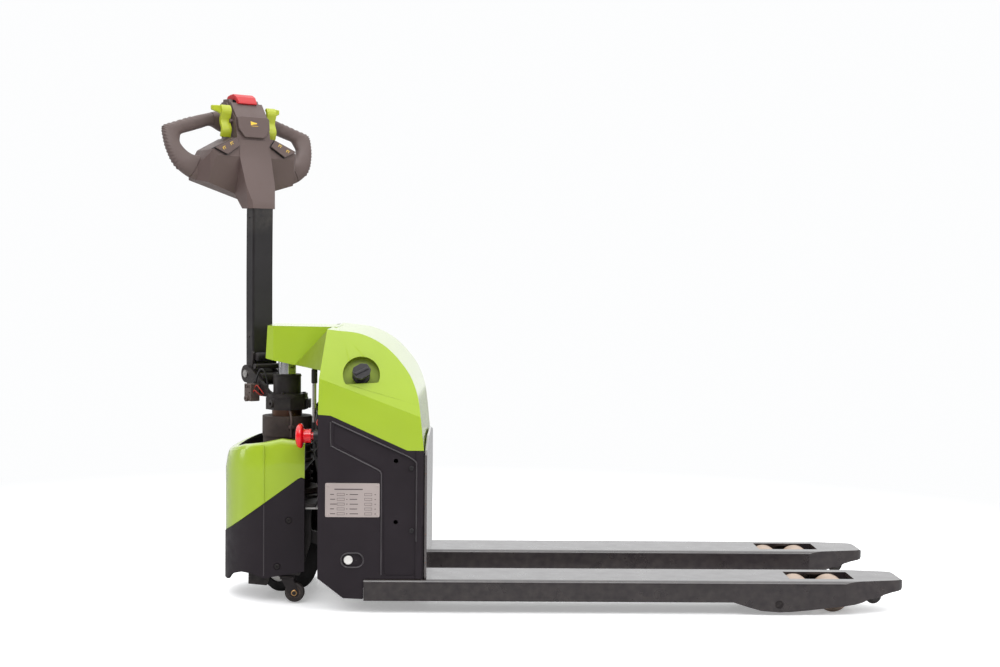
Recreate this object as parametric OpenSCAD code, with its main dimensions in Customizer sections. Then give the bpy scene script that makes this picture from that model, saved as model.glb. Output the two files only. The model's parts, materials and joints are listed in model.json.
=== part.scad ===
// Electric walkie pallet truck: a pallet jack with a powered drive wheel, a tiller and a lifting chassis.
// Axes: +X runs along the forks to their tips, +Y is the truck's left, +Z is up.
// Origin: on the load face of the backrest, on the centre line, level with the lowered fork tops.

/* [Forks] */
// Length of a fork from the backrest's face to its tip
fork_length = 1150; // [1000:10:1220]
// Width of one fork
fork_width = 160; // [150:1:170]
// Width over both forks
forks_over = 560; // [540:1:600]
// Height of the lowered fork tops above the floor
fork_height = 82; // [82:1:86]
// Thickness of the fork's top plate
fork_top_thick = 6; // [5:0.5:6]
// Thickness of the fork's side walls
fork_wall = 5; // [4:0.5:5]
// Radius along the fork's upper edges
fork_edge = 9; // [4:1:10]

/* [Wheels] */
// Diameter of a load wheel
load_wheel_d = 80; // [74:1:80]
// Width of a load wheel
load_wheel_w = 70; // [60:1:70]
// Diameter of the drive wheel
drive_wheel_d = 210; // [200:1:212]
// Width of the drive wheel
drive_wheel_w = 70; // [60:1:72]
// Diameter of a castor wheel
castor_d = 48; // [44:1:48]
// Width of a castor wheel
castor_w = 18; // [14:1:18]
// Diameter of the small roller under a fork's tip
entry_roller_d = 40; // [34:1:40]

/* [Chassis] */
// Width over the two side covers
chassis_width = 550; // [546:1:552]
// Thickness of a side cover
side_cover_thick = 5; // [4:0.5:5]
// Thickness of the welded side plates
side_plate_thick = 8; // [6:1:10]
// Thickness of the backrest plate
backrest_thick = 6; // [4:1:6]
// Height of the backrest above the floor
backrest_top = 408; // [404:1:440]
// Radius of the two accessory holes in each side
accessory_hole_r = 5.5; // [4:0.5:6]
// Distance between the two accessory holes
accessory_pitch = 146; // [140:1:148]
// Thickness of the moulded covers
shell = 5; // [3:0.5:5]

/* [Tiller] */
// Distance of the steering axis ahead of the backrest's face
column_reach = 364; // [362:1:366]
// Angle that the tiller is steered to one side at rest
rest_steer = 52; // [45:1:60]
// Distance of the tiller's pivot from the steering axis
tiller_reach = 138; // [134:1:142]
// Height of the tiller's pivot
tiller_pivot_h = 545; // [544:1:546]
// Width of the tiller arm
arm_width = 60; // [54:1:64]
// Depth of the tiller arm
arm_depth = 38; // [34:1:40]

/* [Lift] */
// Radius of the lift ram
ram_r = 22.5; // [20:0.5:23]
// Radius of the lift crank's pivot pins
crank_pin_r = 10.5; // [9:0.5:11]

/* [Fits] */
// Radial clearance of a running fit
run = 0.05; // [0.02:0.01:0.09]

/* [Hidden] */
$fn = 64;
// how far a cut runs past the surface that it opens
past = 1;

fork_y = (forks_over - fork_width) / 2;
side_y = chassis_width / 2;
side_in = side_y - side_cover_thick;
column_x = -column_reach;

// colours
charcoal = [0.16, 0.14, 0.16];
black = [0.08, 0.08, 0.09];
green = [0.62, 0.75, 0.15];
steel = [0.72, 0.72, 0.74];
warm_grey = [0.42, 0.38, 0.36];
cream = [0.78, 0.68, 0.60];
red = [0.85, 0.08, 0.12];

// fork heel end under the chassis, and where the fork starts to narrow
fork_heel_x = -149;
fork_taper = 150;
// how far the heel lies below the load surface, so that the chassis stands on its own pad
heel_step = 0.5;
floor_z = fork_height - heel_step;
load_pivot = [842, 27];
bogie_pivot = [939, load_wheel_d / 2];
bogie_half = 42;
lever_tip = [820, 54.3];
entry_roller_at = [1078, 41];
roller_lug_y = 42;
roller_axle_end = roller_lug_y + 8;

// lift crank: its pivot in the chassis, its front pins in the drive base and its lower lever's tip
crank_at = [-186, 127];
crank_front = [-352.5, 179.5];
crank_tip = [-208, 57.4];
crank_arm_y = 122;
crank_arm_t = 12;
cheek_y = 138;
cheek_t = 10;

// floor level places everything below at its height above the floor
module truck() translate([0, 0, -fork_height]) children();
// frame that turns with the tiller: its -X points to the operator, its origin is on the steering axis
module steered() truck() translate([column_x, 0, 0]) rotate([0, 0, -rest_steer]) children();
module both_sides() {
    children();
    mirror([0, 1, 0]) children();
}
// a shape drawn in X and Z, given thickness t from y towards +Y
module plate_xz(y, t) translate([0, y + t, 0]) rotate([90, 0, 0]) linear_extrude(t) children();
// a shape drawn in Y and Z, given thickness t from x towards +X
module plate_yz(x, t) translate([x, 0, 0]) rotate([90, 0, 90]) linear_extrude(t) children();
// a round bar along Y
module rod_y(at, y0, y1, r) translate([at[0], y0, at[1]]) rotate([-90, 0, 0]) cylinder(h = y1 - y0, r = r);
module rod_x(y, z, x0, x1, r) translate([x0, y, z]) rotate([0, 90, 0]) cylinder(h = x1 - x0, r = r);
module block(low, high) translate(low) cube(high - low);
// a bar between two points of a side view, with round ends a little wider than its waist
module link_2d(a, b, r) {
    d = b - a;
    waist = 0.97 * r;
    translate(a) circle(r);
    translate(b) circle(r);
    translate(a) rotate(atan2(d[1], d[0])) translate([0, -waist]) square([norm(d), 2 * waist]);
}

// ---- drive base: stands on the floor and carries the steering column ----

column_bore_r = 95;
carrier_z = 232;
carrier_t = 14;
castor_at = [-345, 160];
castor_trail = 20;
castor_axle_z = castor_d / 2 + 3;
cover_screw_at = [[-338, 206], [-366, 93]];

module cheek_2d() difference() {
    polygon([[-440, 44], [-395, 40], [-385, 70], [-312, 70], [-287, 150], [-287, 232], [-440, 232]]);
    // slot for the crank's front pin, long enough for the arc that the pin follows
    translate(crank_front - [5, 0]) link_2d([0, 0], [5, 0], 8.6);
    translate(crank_front - [9, 0]) circle(8.6);
}

module carrier_plan() polygon([
    [-275, -170], [-275, 170], [-400, 170], [-452, 138], [-452, -138], [-400, -170]
]);

module base_frame() color(charcoal) truck() {
    difference() {
        union() {
            translate([0, 0, carrier_z]) linear_extrude(carrier_t) carrier_plan();
            both_sides() {
                plate_xz(cheek_y, cheek_t) cheek_2d();
                // foot that holds the castor's stem
                block([-380, cheek_y + cheek_t, 70], [-312, side_cover_stand - 2, 78]);
                // standoffs that the cover screws go into
                block([-347, cheek_y + cheek_t, 197], [-329, side_cover_stand, 215]);
                block([-375, cheek_y + cheek_t, 84], [-357, side_cover_stand, 102]);
            }
        }
        translate([column_x, 0, carrier_z - past]) cylinder(h = carrier_t + 2 * past, r = column_bore_r);
        both_sides() {
            translate([castor_at[0], castor_at[1], 60]) cylinder(h = 30, r = 6 + run);
            for (at = cover_screw_at) rod_y(at, 155, side_cover_stand + past, 3 + run);
        }
    }
}

module bearing_ring() color(steel) truck() translate([column_x, 0, 0]) difference() {
    union() {
        translate([0, 0, carrier_z]) cylinder(h = carrier_t, r = column_bore_r);
        translate([0, 0, carrier_z + carrier_t]) cylinder(h = 6, r = column_bore_r + 8);
    }
    translate([0, 0, carrier_z - past]) cylinder(h = carrier_t + 6 + 2 * past, r = 75 + run);
}

// plan of the drive cover: straight sides and an elliptical nose
cover_half = 180;
cover_crease_x = -398;
cover_end_x = -300;
cover_nose = 118;
side_cover_stand = cover_half - shell;
module cover_plan(inset) polygon(concat(
    [[cover_end_x + past * sign(inset), cover_half - inset]],
    [for (a = [90 : 7.5 : 270]) [
        cover_crease_x + (cover_nose - inset) * cos(a),
        (cover_half - inset) * sin(a)
    ]],
    [[cover_end_x + past * sign(inset), inset - cover_half]]
));
module cover_wall() difference() {
    linear_extrude(420) cover_plan(0);
    translate([0, 0, -past]) linear_extrude(430) cover_plan(shell);
}
// line where the upper and lower covers meet
cover_split = [[-530, 147], [-497, 172], [-402, 244], [-310, 311], [-290, 304]];

module drive_cover_upper() color(green) truck() intersection() {
    cover_wall();
    plate_xz(-200, 400) polygon(concat(cover_split, [
        [-290, 396], [-356, 404], [-398, 395], [-437, 388], [-465, 384], [-500, 376], [-530, 368]
    ]));
}

module drive_cover_lower() color(black) truck() difference() {
    intersection() {
        cover_wall();
        plate_xz(-200, 400) polygon(concat(cover_split, [
            [-290, 83], [-300, 81], [-398, 64], [-434, 73], [-459, 73], [-487, 62], [-500, 44], [-530, 38]
        ]));
    }
    both_sides() for (at = cover_screw_at) rod_y(at, cover_half - 10, cover_half + 5, 3 + run);
}

module cover_screws() color(steel) truck() both_sides() for (at = cover_screw_at) {
    rod_y(at, cover_half - 14, cover_half, 3);
    rod_y(at, cover_half, cover_half + 3, 6.5);
}

module castor_fork_at(y) color(steel) truck() translate([castor_at[0], y, 0]) {
    translate([0, 0, 62]) cylinder(h = 4, r = 20);
    translate([0, 0, 66]) cylinder(h = 14, r = 6);
    both_sides() plate_xz(castor_w / 2 + 2, 3) difference() {
        union() {
            polygon([
                [-12, 62], [16, 62], [castor_trail + 8, castor_axle_z], [castor_trail - 9, castor_axle_z]
            ]);
            translate([castor_trail, castor_axle_z]) circle(9);
        }
    }
    rod_y([castor_trail, castor_axle_z], -castor_w / 2 - 8, castor_w / 2 + 8, 5);
}
module castor_fork_left() castor_fork_at(castor_at[1]);
module castor_fork_right() castor_fork_at(-castor_at[1]);

module castor_wheel_at(y) color(charcoal) truck() difference() {
    rod_y([castor_at[0] + castor_trail, castor_axle_z], y - castor_w / 2, y + castor_w / 2, castor_d / 2);
    rod_y([castor_at[0] + castor_trail, castor_axle_z], y - castor_w, y + castor_w, 5 + run);
}
module castor_wheel_left() castor_wheel_at(castor_at[1]);
module castor_wheel_right() castor_wheel_at(-castor_at[1]);

// ---- steered column: turns with the tiller ----

yoke_z = 214;
motor_z = 254;
brake_z = 396;
ring_z = 446;
collar_z = 462;
collar_top = 492;
cylinder_top = 551;
barrel_r = 27.5;
cylinder_r = 35;
axle_z = drive_wheel_d / 2;
axle_r = 12;
gear_y = 42;
gear_t = 24;

module steering_yoke() color(charcoal) steered() {
    translate([0, 0, yoke_z]) cylinder(h = 14, r = 92);
    translate([0, 0, yoke_z + 14]) cylinder(h = motor_z - yoke_z - 14, r = 75);
    // gear case beside the wheel, and its stub axle
    plate_xz(gear_y, gear_t) union() {
        translate([0, axle_z]) circle(48);
        translate([-42, axle_z]) square([84, yoke_z - axle_z]);
    }
    rod_y([0, axle_z], -drive_wheel_w / 2 + 3, gear_y, axle_r);
}

module drive_motor() color(charcoal) steered() {
    translate([0, 0, motor_z]) cylinder(h = 12, r = 84);
    translate([0, 0, motor_z + 12]) cylinder(h = brake_z - motor_z - 12, r = 60);
    // cooling ribs
    for (rib = [0 : 5]) translate([0, 0, motor_z + 26 + 18 * rib]) cylinder(h = 5, r = 66);
}

module column_bush(z0, z1, r) translate([0, 0, z0]) difference() {
    cylinder(h = z1 - z0, r = r);
    translate([0, 0, -past]) cylinder(h = z1 - z0 + 2 * past, r = barrel_r + run);
}

module brake_housing() color([0.28, 0.20, 0.17]) steered() column_bush(brake_z, ring_z, 62);

module thrust_ring() color([0.62, 0.38, 0.22]) steered() column_bush(ring_z, collar_z, 38);

module lift_cylinder() color(charcoal) steered() difference() {
    union() {
        translate([0, 0, brake_z + 1]) cylinder(h = collar_top - brake_z - 1, r = barrel_r);
        translate([0, 0, collar_top]) cylinder(h = cylinder_top - collar_top, r = cylinder_r);
    }
    translate([0, 0, brake_z + 7]) cylinder(h = cylinder_top - brake_z, r = ram_r + run);
}

module steering_collar() color(charcoal) steered() difference() {
    union() {
        translate([0, 0, collar_z]) rotate(22.5) cylinder(h = collar_top - collar_z, r = 54, $fn = 8);
        rotate(rest_steer) block([0, -14, collar_z + 4], [60, 14, collar_top - 4]);
    }
    translate([0, 0, collar_z - past]) cylinder(h = collar_top - collar_z + 2 * past, r = barrel_r + run);
}

lug_y = arm_width / 2 + 2;
lug_t = 9;
pivot_r = 10;
bracket_z = collar_top + 0.2;
bracket_t = 10;
module tiller_bracket() color(charcoal) steered() difference() {
    union() {
        translate([0, 0, bracket_z]) cylinder(h = bracket_t, r = 52);
        both_sides() plate_xz(lug_y, lug_t) {
            polygon([
                [-18, bracket_z], [-18, bracket_z + bracket_t], [-104, 556],
                [-tiller_reach, tiller_pivot_h + 23], [-tiller_reach - 20, tiller_pivot_h - 12],
                [-70, bracket_z]
            ]);
            translate([-tiller_reach, tiller_pivot_h]) circle(23);
        }
    }
    translate([0, 0, bracket_z - past]) cylinder(h = bracket_t + 2 * past, r = cylinder_r + run);
    rod_y([-tiller_reach, tiller_pivot_h], -60, 60, pivot_r + run);
}

module pivot_pin() color(steel) steered() {
    rod_y([-tiller_reach, tiller_pivot_h], -lug_y - lug_t - 3, lug_y + lug_t, pivot_r);
    rod_y([-tiller_reach, tiller_pivot_h], lug_y + lug_t, lug_y + lug_t + 6, pivot_r + 5);
}

module switch_box() color([0.36, 0.24, 0.18]) steered() {
    face_y = -lug_y - lug_t;
    block([-98, face_y - 26, 480], [-66, face_y, 522]);
    rod_y([-84, 486], face_y - 32, face_y - 26, 6);
}

module drive_tyre() color(black) steered() difference() {
    rod_y([0, axle_z], -drive_wheel_w / 2, drive_wheel_w / 2, drive_wheel_d / 2);
    rod_y([0, axle_z], -drive_wheel_w, drive_wheel_w, 80);
}

module drive_hub() color(steel) steered() difference() {
    rod_y([0, axle_z], -drive_wheel_w / 2 + 4, drive_wheel_w / 2 - 4, 80);
    rod_y([0, axle_z], -drive_wheel_w, drive_wheel_w, axle_r + run);
}

// ---- tiller: tilts down towards the operator ----

neck_z = 972;
module arm_section(w, d) {
    r = 6;
    translate([-d / 2 + r, -w / 2]) square([d - 2 * r, w]);
    translate([-d / 2, -w / 2 + r]) square([d, w - 2 * r]);
    for (x = [-1, 1], y = [-1, 1]) translate([x * (d / 2 - r), y * (w / 2 - r)]) circle(r);
}

module tiller_arm() color(black) steered() translate([-tiller_reach, 0, 0]) difference() {
    union() {
        translate([0, 0, tiller_pivot_h + 14]) linear_extrude(neck_z - tiller_pivot_h - 14)
            arm_section(arm_width, arm_depth);
        rod_y([0, tiller_pivot_h], -arm_width / 2, arm_width / 2, 20);
    }
    translate([0, 0, tiller_pivot_h + 24]) linear_extrude(neck_z)
        square([arm_depth - 8, arm_width - 8], center = true);
    rod_y([0, tiller_pivot_h], -arm_width, arm_width, pivot_r + run);
}

// reversing button: its stroke, and its stem in the head
belly_travel = 6;
button_depth = 18;
button_r = 8;
// the head's console leans back from the neck, and the two hand loops stand upright behind it
loop_x = -250;
loop_t = 28;
face_at = [-160, 1105];
face_lean = atan(0.15);
head_top = 1252;

module console_side_2d() polygon([
    [-118, neck_z], [-158, neck_z], [-222, 1040], [-222, head_top], [-207, head_top - 3], [-175, 1205],
    face_at, [-120, 992]
]);
module console_front_2d() both_halves() polygon([
    [0, neck_z], [34, neck_z], [34, 988], [50, 1003], [130, 1036], [130, 1112], [118, 1124],
    [60, 1156], [48, 1160], [48, 1240], [36, head_top], [0, head_top]
]);
module both_halves() {
    children();
    mirror([1, 0]) children();
}
// upright hand loops seen from the front, with the two hand holes
module loops_2d() difference() {
    offset(6) offset(-6) both_halves() polygon([
        [0, 1010], [50, 1003], [157, 1047], [178, 1060], [198, 1080], [211, 1108], [218, 1148],
        [206, 1175], [150, 1204], [90, 1221], [46, 1230], [36, head_top], [0, head_top]
    ]);
    both_halves() offset(8) offset(-8) polygon([
        [52, 1158], [82, 1189], [132, 1171], [166, 1156], [172, 1132], [147, 1108], [124, 1108], [87, 1132]
    ]);
}
// part of the loop that the hands hold
module grip_zone_2d() both_halves() polygon([
    [124, 1112], [160, 1040], [240, 1040], [240, 1230], [152, 1230], [133, 1164]
]);

module on_face() translate([face_at[0], 0, face_at[1]]) rotate([0, -face_lean, 0]) children();
rocker_at = [82, 25];
rocker_tilt = 30;
module at_rocker(side) on_face() translate([0, side * rocker_at[0], rocker_at[1]])
    rotate([-side * rocker_tilt, 0, 0]) children();

module head_front() color(warm_grey) steered() difference() {
    intersection() {
        plate_xz(-140, 280) console_side_2d();
        plate_yz(-300, 250) console_front_2d();
    }
    // room for the throttle's shaft and the switches
    plate_xz(-42, 84) polygon([
        [-174, 1060], [-216, 1060], [-216, 1240], [-209, 1238], [-186, 1204], [-174, 1110]
    ]);
    rod_y(throttle_at, -60, 60, 5 + run);
    on_face() rod_x(0, horn_z, -20, 5, 6 + run);
}

module head_back() color(warm_grey) steered() difference() {
    plate_yz(loop_x, loop_t) difference() {
        loops_2d();
        grip_zone_2d();
    }
    translate([loop_x + loop_t / 2, 0, head_top - button_depth - 10]) cylinder(h = 60, r = button_r + run);
}

module hand_grips() color(charcoal) steered() plate_yz(loop_x, loop_t) intersection() {
    loops_2d();
    grip_zone_2d();
}

throttle_at = [-195, 1200];
module throttle_paddles() color([0.75, 0.82, 0.15]) steered() {
    rod_y(throttle_at, -52, 52, 5);
    both_sides() {
        plate_yz(throttle_at[0] - 6, 12) offset(5) offset(-5) polygon([
            [50, 1160], [76, 1160], [88, 1180], [90, 1214], [110, 1218], [108, 1236], [50, 1240]
        ]);
    }
}

module belly_button() color(red) steered() translate([loop_x + loop_t / 2, 0, head_top]) {
    translate([0, 0, belly_travel + 1]) linear_extrude(14) arm_section(68, 42);
    translate([0, 0, -button_depth]) cylinder(h = button_depth + belly_travel + 2, r = button_r);
}

horn_z = 82;
module horn_button() color(charcoal) steered() on_face() {
    translate([4, 0, 0]) plate_yz(0, 5) offset(8) offset(-8) polygon([
        [-34, 106], [34, 106], [34, 76], [18, 58], [-18, 58], [-34, 76]
    ]);
    rod_x(0, horn_z, -8, 5, 6);
}

// rocks about a rib across its middle
module rocker(side) color(charcoal) steered() at_rocker(side) {
    block([2.6, -30, -9], [8, 30, 9]);
    translate([2.6, 0, -9]) cylinder(h = 18, r = 2.5);
}
module rocker_left() rocker(1);
module rocker_right() rocker(-1);

// ---- lifting chassis: forks, welded frame, covers and the works inside ----

// outer side of a fork: it deepens round the load arm's pivot and rises to the tip
module fork_side_2d() polygon([
    [fork_heel_x, fork_height], [fork_heel_x, 31], [733, 31], [768, 20], [800, 11], [842, 8], [871, 9],
    [913, 13], [980, 21], [1023, 26], [1044, 31], [1060, 38], [1086, 41], [1096, 47], [1118, 53],
    [fork_length - 7, 57], [fork_length, 63], [fork_length, fork_height - 9],
    [fork_length - 3, fork_height - 3], [fork_length - 9, fork_height]
]);
// plan of a fork about its own centre line
module fork_plan_2d() {
    half = fork_width / 2;
    tip_r = 34;
    taper_x = fork_length - fork_taper;
    hull() {
        translate([fork_heel_x, -half]) square([taper_x - fork_heel_x, fork_width]);
        for (s = [-1, 1]) translate([fork_length - tip_r, s * (half - 22 - tip_r)]) circle(tip_r);
    }
}
module channel_2d(w, h, r) {
    translate([-w / 2, 0]) square([w, h - r]);
    translate([-w / 2 + r, 0]) square([w - 2 * r, h]);
    for (s = [-1, 1]) translate([s * (w / 2 - r), h - r]) circle(r);
}

module fork_at(y) color(charcoal) truck() translate([0, y, 0]) difference() {
    union() {
        intersection() {
            plate_yz(fork_heel_x, fork_length - fork_heel_x) channel_2d(fork_width, fork_height, fork_edge);
            plate_xz(-fork_width / 2, fork_width) fork_side_2d();
            linear_extrude(fork_height) fork_plan_2d();
        }
        // lugs that hold the entry roller's axle
        both_sides() plate_xz(roller_lug_y, 8) link_2d(entry_roller_at, entry_roller_at + [0, 20], 10);
    }
    // open channel under the top plate
    block(
        [fork_heel_x - past, fork_wall - fork_width / 2, -past],
        [fork_length - fork_taper, fork_width / 2 - fork_wall, fork_height - fork_top_thick]
    );
    // narrower channel where the entry roller sits
    block([990, -roller_lug_y, -past], [1104, roller_lug_y, fork_height - fork_top_thick - 4]);
    // pad under the chassis
    block(
        [fork_heel_x - past, -fork_width, floor_z],
        [0, fork_width, fork_height + past]
    );
    // window over the load wheels
    block([873, -44, 40], [1029, 44, fork_height + past]);
    rod_y(load_pivot, -fork_width, fork_width, 8 + run);
    // blind bore for the entry roller's axle
    rod_y(entry_roller_at, -roller_axle_end - run, roller_axle_end + run, 5 + run);
}
module fork_left() fork_at(fork_y);
module fork_right() fork_at(-fork_y);

frame_x = -252;
lower_hole_at = [-74, 218];
module accessory_holes(y) for (rise = [0, accessory_pitch])
    rod_y(lower_hole_at + [0, rise], y - 20, y + 20, accessory_hole_r);
frame_screw_at = [[-37, 347], [-36, 198]];

module chassis_frame() color(charcoal) truck() difference() {
    union() {
        both_sides() {
            plate_xz(side_in - side_plate_thick, side_plate_thick) polygon([
                [frame_x, 88], [frame_x, 464], [-230, 463], [-49, 382], [-12, 382],
                [-12, floor_z], [-152, floor_z], [-152, 42], [-198, 42]
            ]);
            // corner posts behind the backrest
            block([-30, 236, floor_z + 6], [-12, side_in - side_plate_thick, 382]);
        }
        block([-150, side_plate_thick - side_in, floor_z], [-12, side_in - side_plate_thick, floor_z + 6]);
        // front plate that the pump unit and the lift arm bolt to
        block([frame_x, side_plate_thick - side_in, 180], [frame_x + 8, side_in - side_plate_thick, 460]);
        // crossbar that backs the load face
        block([-12, 20 - side_in, floor_z], [-backrest_thick, side_in - 20, 380]);
    }
    both_sides() {
        accessory_holes(side_in);
        rod_y(crank_at, 240, 290, crank_pin_r + run);
        for (at = frame_screw_at) rod_y(at, side_in - 16, side_in + 5, 4 + run);
    }
}

module backrest_plate() color(charcoal) truck() plate_yz(-backrest_thick, backrest_thick) polygon([
    [-side_y, fork_height], [-side_y, 380], [-262, 389], [-140, backrest_top - 3], [-110, backrest_top],
    [110, backrest_top], [140, backrest_top - 3], [262, 389], [side_y, 380], [side_y, fork_height],
    [118, fork_height], [118, 44], [-118, 44], [-118, fork_height]
]);

module side_cover(side) color(black) truck() mirror([0, side > 0 ? 0 : 1, 0]) difference() {
    plate_xz(side_in, side_cover_thick) difference() {
        polygon([
            [-259, 83], [-259, 473], [-229, 471], [-47, 389], [-8, 389],
            [-8, fork_height + 1], [fork_heel_x - 1, fork_height + 1], [fork_heel_x - 1, 34], [-198, 36]
        ]);
        // obround opening round the crank's pin
        link_2d(crank_at, crank_at + [14, 0], 16);
    }
    accessory_holes(side_in);
    for (at = frame_screw_at) rod_y(at, side_in - 16, side_y + past, 4 + run);
}
module side_cover_left() side_cover(1);
module side_cover_right() side_cover(-1);

module nameplate() color(steel) truck() {
    plate_xz(-side_y - 1, 1) translate([-241, 230]) square([129, 81]);
}

// hood: closed above the chassis, with a beam that reaches over the lift cylinder
hood_crease = [-256, 559];
hood_crease_fall = 20.7;
hood_lean = 17;
module hood_side_2d() polygon([
    [-259, 473], [-256, 559], [-241, 674], [-217, 671], [-172, 666], [-136, 654], [-101, 633], [-70, 603],
    [-41, 563], [-24, 518], [-16, 468], [-8, 389], [-47, 389], [-229, 471]
]);
// frame of the hood's leaning side facet: X along the crease, Z up the facet, -Y out of it
module on_facet() translate([hood_crease[0], -side_y, hood_crease[1]]) rotate([0, hood_crease_fall, 0])
    rotate([-hood_lean, 0, 0]) children();
module outside_facets(inset) both_sides() on_facet() block([-120, -200, -30], [420, inset, 260]);
module hood_main(inset) difference() {
    plate_xz(inset - side_y, 2 * (side_y - inset)) offset(delta = -inset) hood_side_2d();
    outside_facets(inset);
}
module beam_plan_2d() polygon([
    [-409, -72], [-388, -90], [-320, -90], [-262, -225], [-250, -225],
    [-250, 225], [-262, 225], [-320, 90], [-388, 90], [-409, 72]
]);
module hood_beam(inset) difference() {
    intersection() {
        plate_xz(-250, 500) polygon([
            [-409, 594 - 20 * sign(inset)], [-276, 567 - 20 * sign(inset)], [-250, 560 - 20 * sign(inset)],
            [-241 - inset, 675 - inset], [-406 + inset, 676 - inset]
        ]);
        translate([0, 0, 500]) linear_extrude(200) offset(delta = -inset) beam_plan_2d();
    }
    outside_facets(inset);
}
recess_r = 44;
recess_at = [89, 45];
recess_depth = 12;
// height of the recess's flat lower side below its centre, and its turn from the crease to level
recess_flat = 22;
recess_turn = 25;
module recess_2d(margin) intersection() {
    circle(recess_r + margin);
    translate([-100, recess_flat + margin - 200]) square(200);
}
// frame on the facet with X level, Y down the facet and Z into the hood
module at_recess() on_facet() translate([recess_at[0], 0, recess_at[1]]) rotate([-90, 0, 0])
    rotate(-recess_turn) children();

module hood() color(green) truck() difference() {
    union() {
        difference() {
            union() {
                hood_main(0);
                hood_beam(0);
            }
            hood_main(shell);
            hood_beam(shell);
            // open underside and the opening for the lift arm
            plate_xz(shell - side_y, 2 * (side_y - shell)) polygon([
                [-254, 465], [-229, 463], [-47, 380], [-13, 380], [-20, 430], [-120, 500], [-250, 500]
            ]);
            block([-262, -62, 590], [-230, 62, 668]);
        }
        at_recess() linear_extrude(recess_depth + shell) recess_2d(shell);
    }
    at_recess() translate([0, 0, -past]) linear_extrude(recess_depth + past) recess_2d(0);
}

module battery_pack() color([0.2, 0.22, 0.25]) truck() {
    block([-142, -226, floor_z + 6], [-34, -2, 370]);
    block([-142, 2, floor_z + 6], [-34, 226, 370]);
}

module pump_unit() color(steel) truck() {
    block([-236, -150, 200], [-156, 20, 300]);
    rod_y([-188, 345], -150, 60, 45);
}

module lift_arm() color(charcoal) truck() difference() {
    union() {
        block([-244, -50, 320], [-236, 50, 640]);
        block([-400, -45, 600], [-244, 45, 640]);
        plate_xz(-5, 10) polygon([[-236, 640], [-236, 400], [-200, 600], [-200, 640]]);
    }
    translate([column_x, 0, 590]) cylinder(h = 30, r = ram_r + run);
}

module ram_rod() color(steel) truck() translate([column_x, 0, 0]) {
    translate([0, 0, 408]) cylinder(h = 618 - 408, r = ram_r);
}

module frame_pins() color(steel) truck() both_sides() {
    // crank pins in the side plates
    rod_y(crank_at, 236, side_y - 1, crank_pin_r);
    // load arm pins across each fork
    rod_y(load_pivot, fork_y - fork_width / 2 + 1, fork_y + fork_width / 2, 8);
    // axles of the entry rollers
    rod_y(entry_roller_at, fork_y - roller_axle_end, fork_y + roller_axle_end, 5);
}

module frame_screws() color(steel) truck() both_sides() for (at = frame_screw_at) {
    rod_y(at, side_in - 8, side_y, 4);
    rod_y(at, side_y, side_y + 1.5, 7);
}

// Y and Z of the stop button's axis
stop_at = [-215, 416];
stop_head_x = -300;
stop_sleeve_x = -280;
stop_travel = 5;
stop_stem_r = 9;
module stop_housing() color(charcoal) truck() difference() {
    union() {
        rod_x(stop_at[0], stop_at[1], stop_sleeve_x + stop_travel + 1, frame_x, 15);
        rod_x(stop_at[0], stop_at[1], frame_x - 6, frame_x, 26);
    }
    rod_x(stop_at[0], stop_at[1], stop_sleeve_x, frame_x - 4, stop_stem_r + run);
}

module key_base() color(black) truck() at_recess() translate([0, 0, recess_depth - 6]) difference() {
    cylinder(h = 6, r = 21);
    translate([0, 0, -past]) cylinder(h = 5, r = 7 + run);
}

module emergency_button() color(red) truck() {
    rod_x(stop_at[0], stop_at[1], stop_head_x - 18, stop_head_x, 30);
    rod_x(stop_at[0], stop_at[1], stop_head_x, stop_sleeve_x, 17);
    rod_x(stop_at[0], stop_at[1], stop_sleeve_x, stop_sleeve_x + 18, stop_stem_r);
}

module isolator_key() color(black) truck() at_recess() {
    translate([0, 0, -24]) linear_extrude(29) link_2d([-6, -4], [6, 4], 8);
    translate([0, 0, -26]) linear_extrude(14) link_2d([-12, -8], [12, 8], 10);
    translate([0, 0, 4]) cylinder(h = 5, r = 7);
}

module lift_crank() color(charcoal) truck() {
    difference() {
        union() {
            rod_y(crank_at, -248, 248, 20);
            both_sides() {
                plate_xz(crank_arm_y, crank_arm_t) link_2d(crank_at, crank_front, 15);
                for (gap = [-1, 1]) plate_xz(fork_y + gap * 13 - 5, 10) link_2d(crank_at, crank_tip, 13);
            }
        }
        both_sides() rod_y(crank_at, 232, 260, crank_pin_r + run);
        both_sides() rod_y(crank_tip, fork_y - 30, fork_y + 30, 6 + run);
    }
    // pins that bear in the slots of the drive base
    both_sides() rod_y(crank_front, crank_arm_y + crank_arm_t, cheek_y + cheek_t + 1, 8);
}

// push rod: an eye on the crank's lever, a flat bar and an upright slot over the load arm's lever pin
module push_rod_at(y) color(charcoal) truck() translate([0, y, 0]) {
    difference() {
        plate_xz(-7, 14) difference() {
            union() {
                translate(crank_tip) circle(13);
                polygon([
                    [crank_tip[0], 48], [lever_tip[0] - 10, 45.5], [lever_tip[0] - 10, 66], [crank_tip[0], 67]
                ]);
                translate(lever_tip + [-13, -11]) square([25, 30.5]);
            }
            // slot for the lever pin
            link_2d(lever_tip, lever_tip + [0, 11.6], 4.8);
        }
    }
    rod_y(crank_tip, -20, 20, 6);
}
module push_rod_left() push_rod_at(fork_y);
module push_rod_right() push_rod_at(-fork_y);

module load_arm_at(y) color(charcoal) truck() translate([0, y, 0]) {
    difference() {
        union() {
            rod_y(load_pivot, -52, 52, 12);
            both_sides() plate_xz(44, 8) link_2d(load_pivot, bogie_pivot, 13);
            for (gap = [-1, 1]) plate_xz(gap * 12.5 - 4, 8) link_2d(load_pivot, lever_tip, 9);
        }
        rod_y(load_pivot, -60, 60, 8 + run);
        rod_y(bogie_pivot, -60, 60, 6 + run);
    }
    rod_y(lever_tip, -14, 14, 4);
}
module load_arm_left() load_arm_at(fork_y);
module load_arm_right() load_arm_at(-fork_y);

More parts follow.
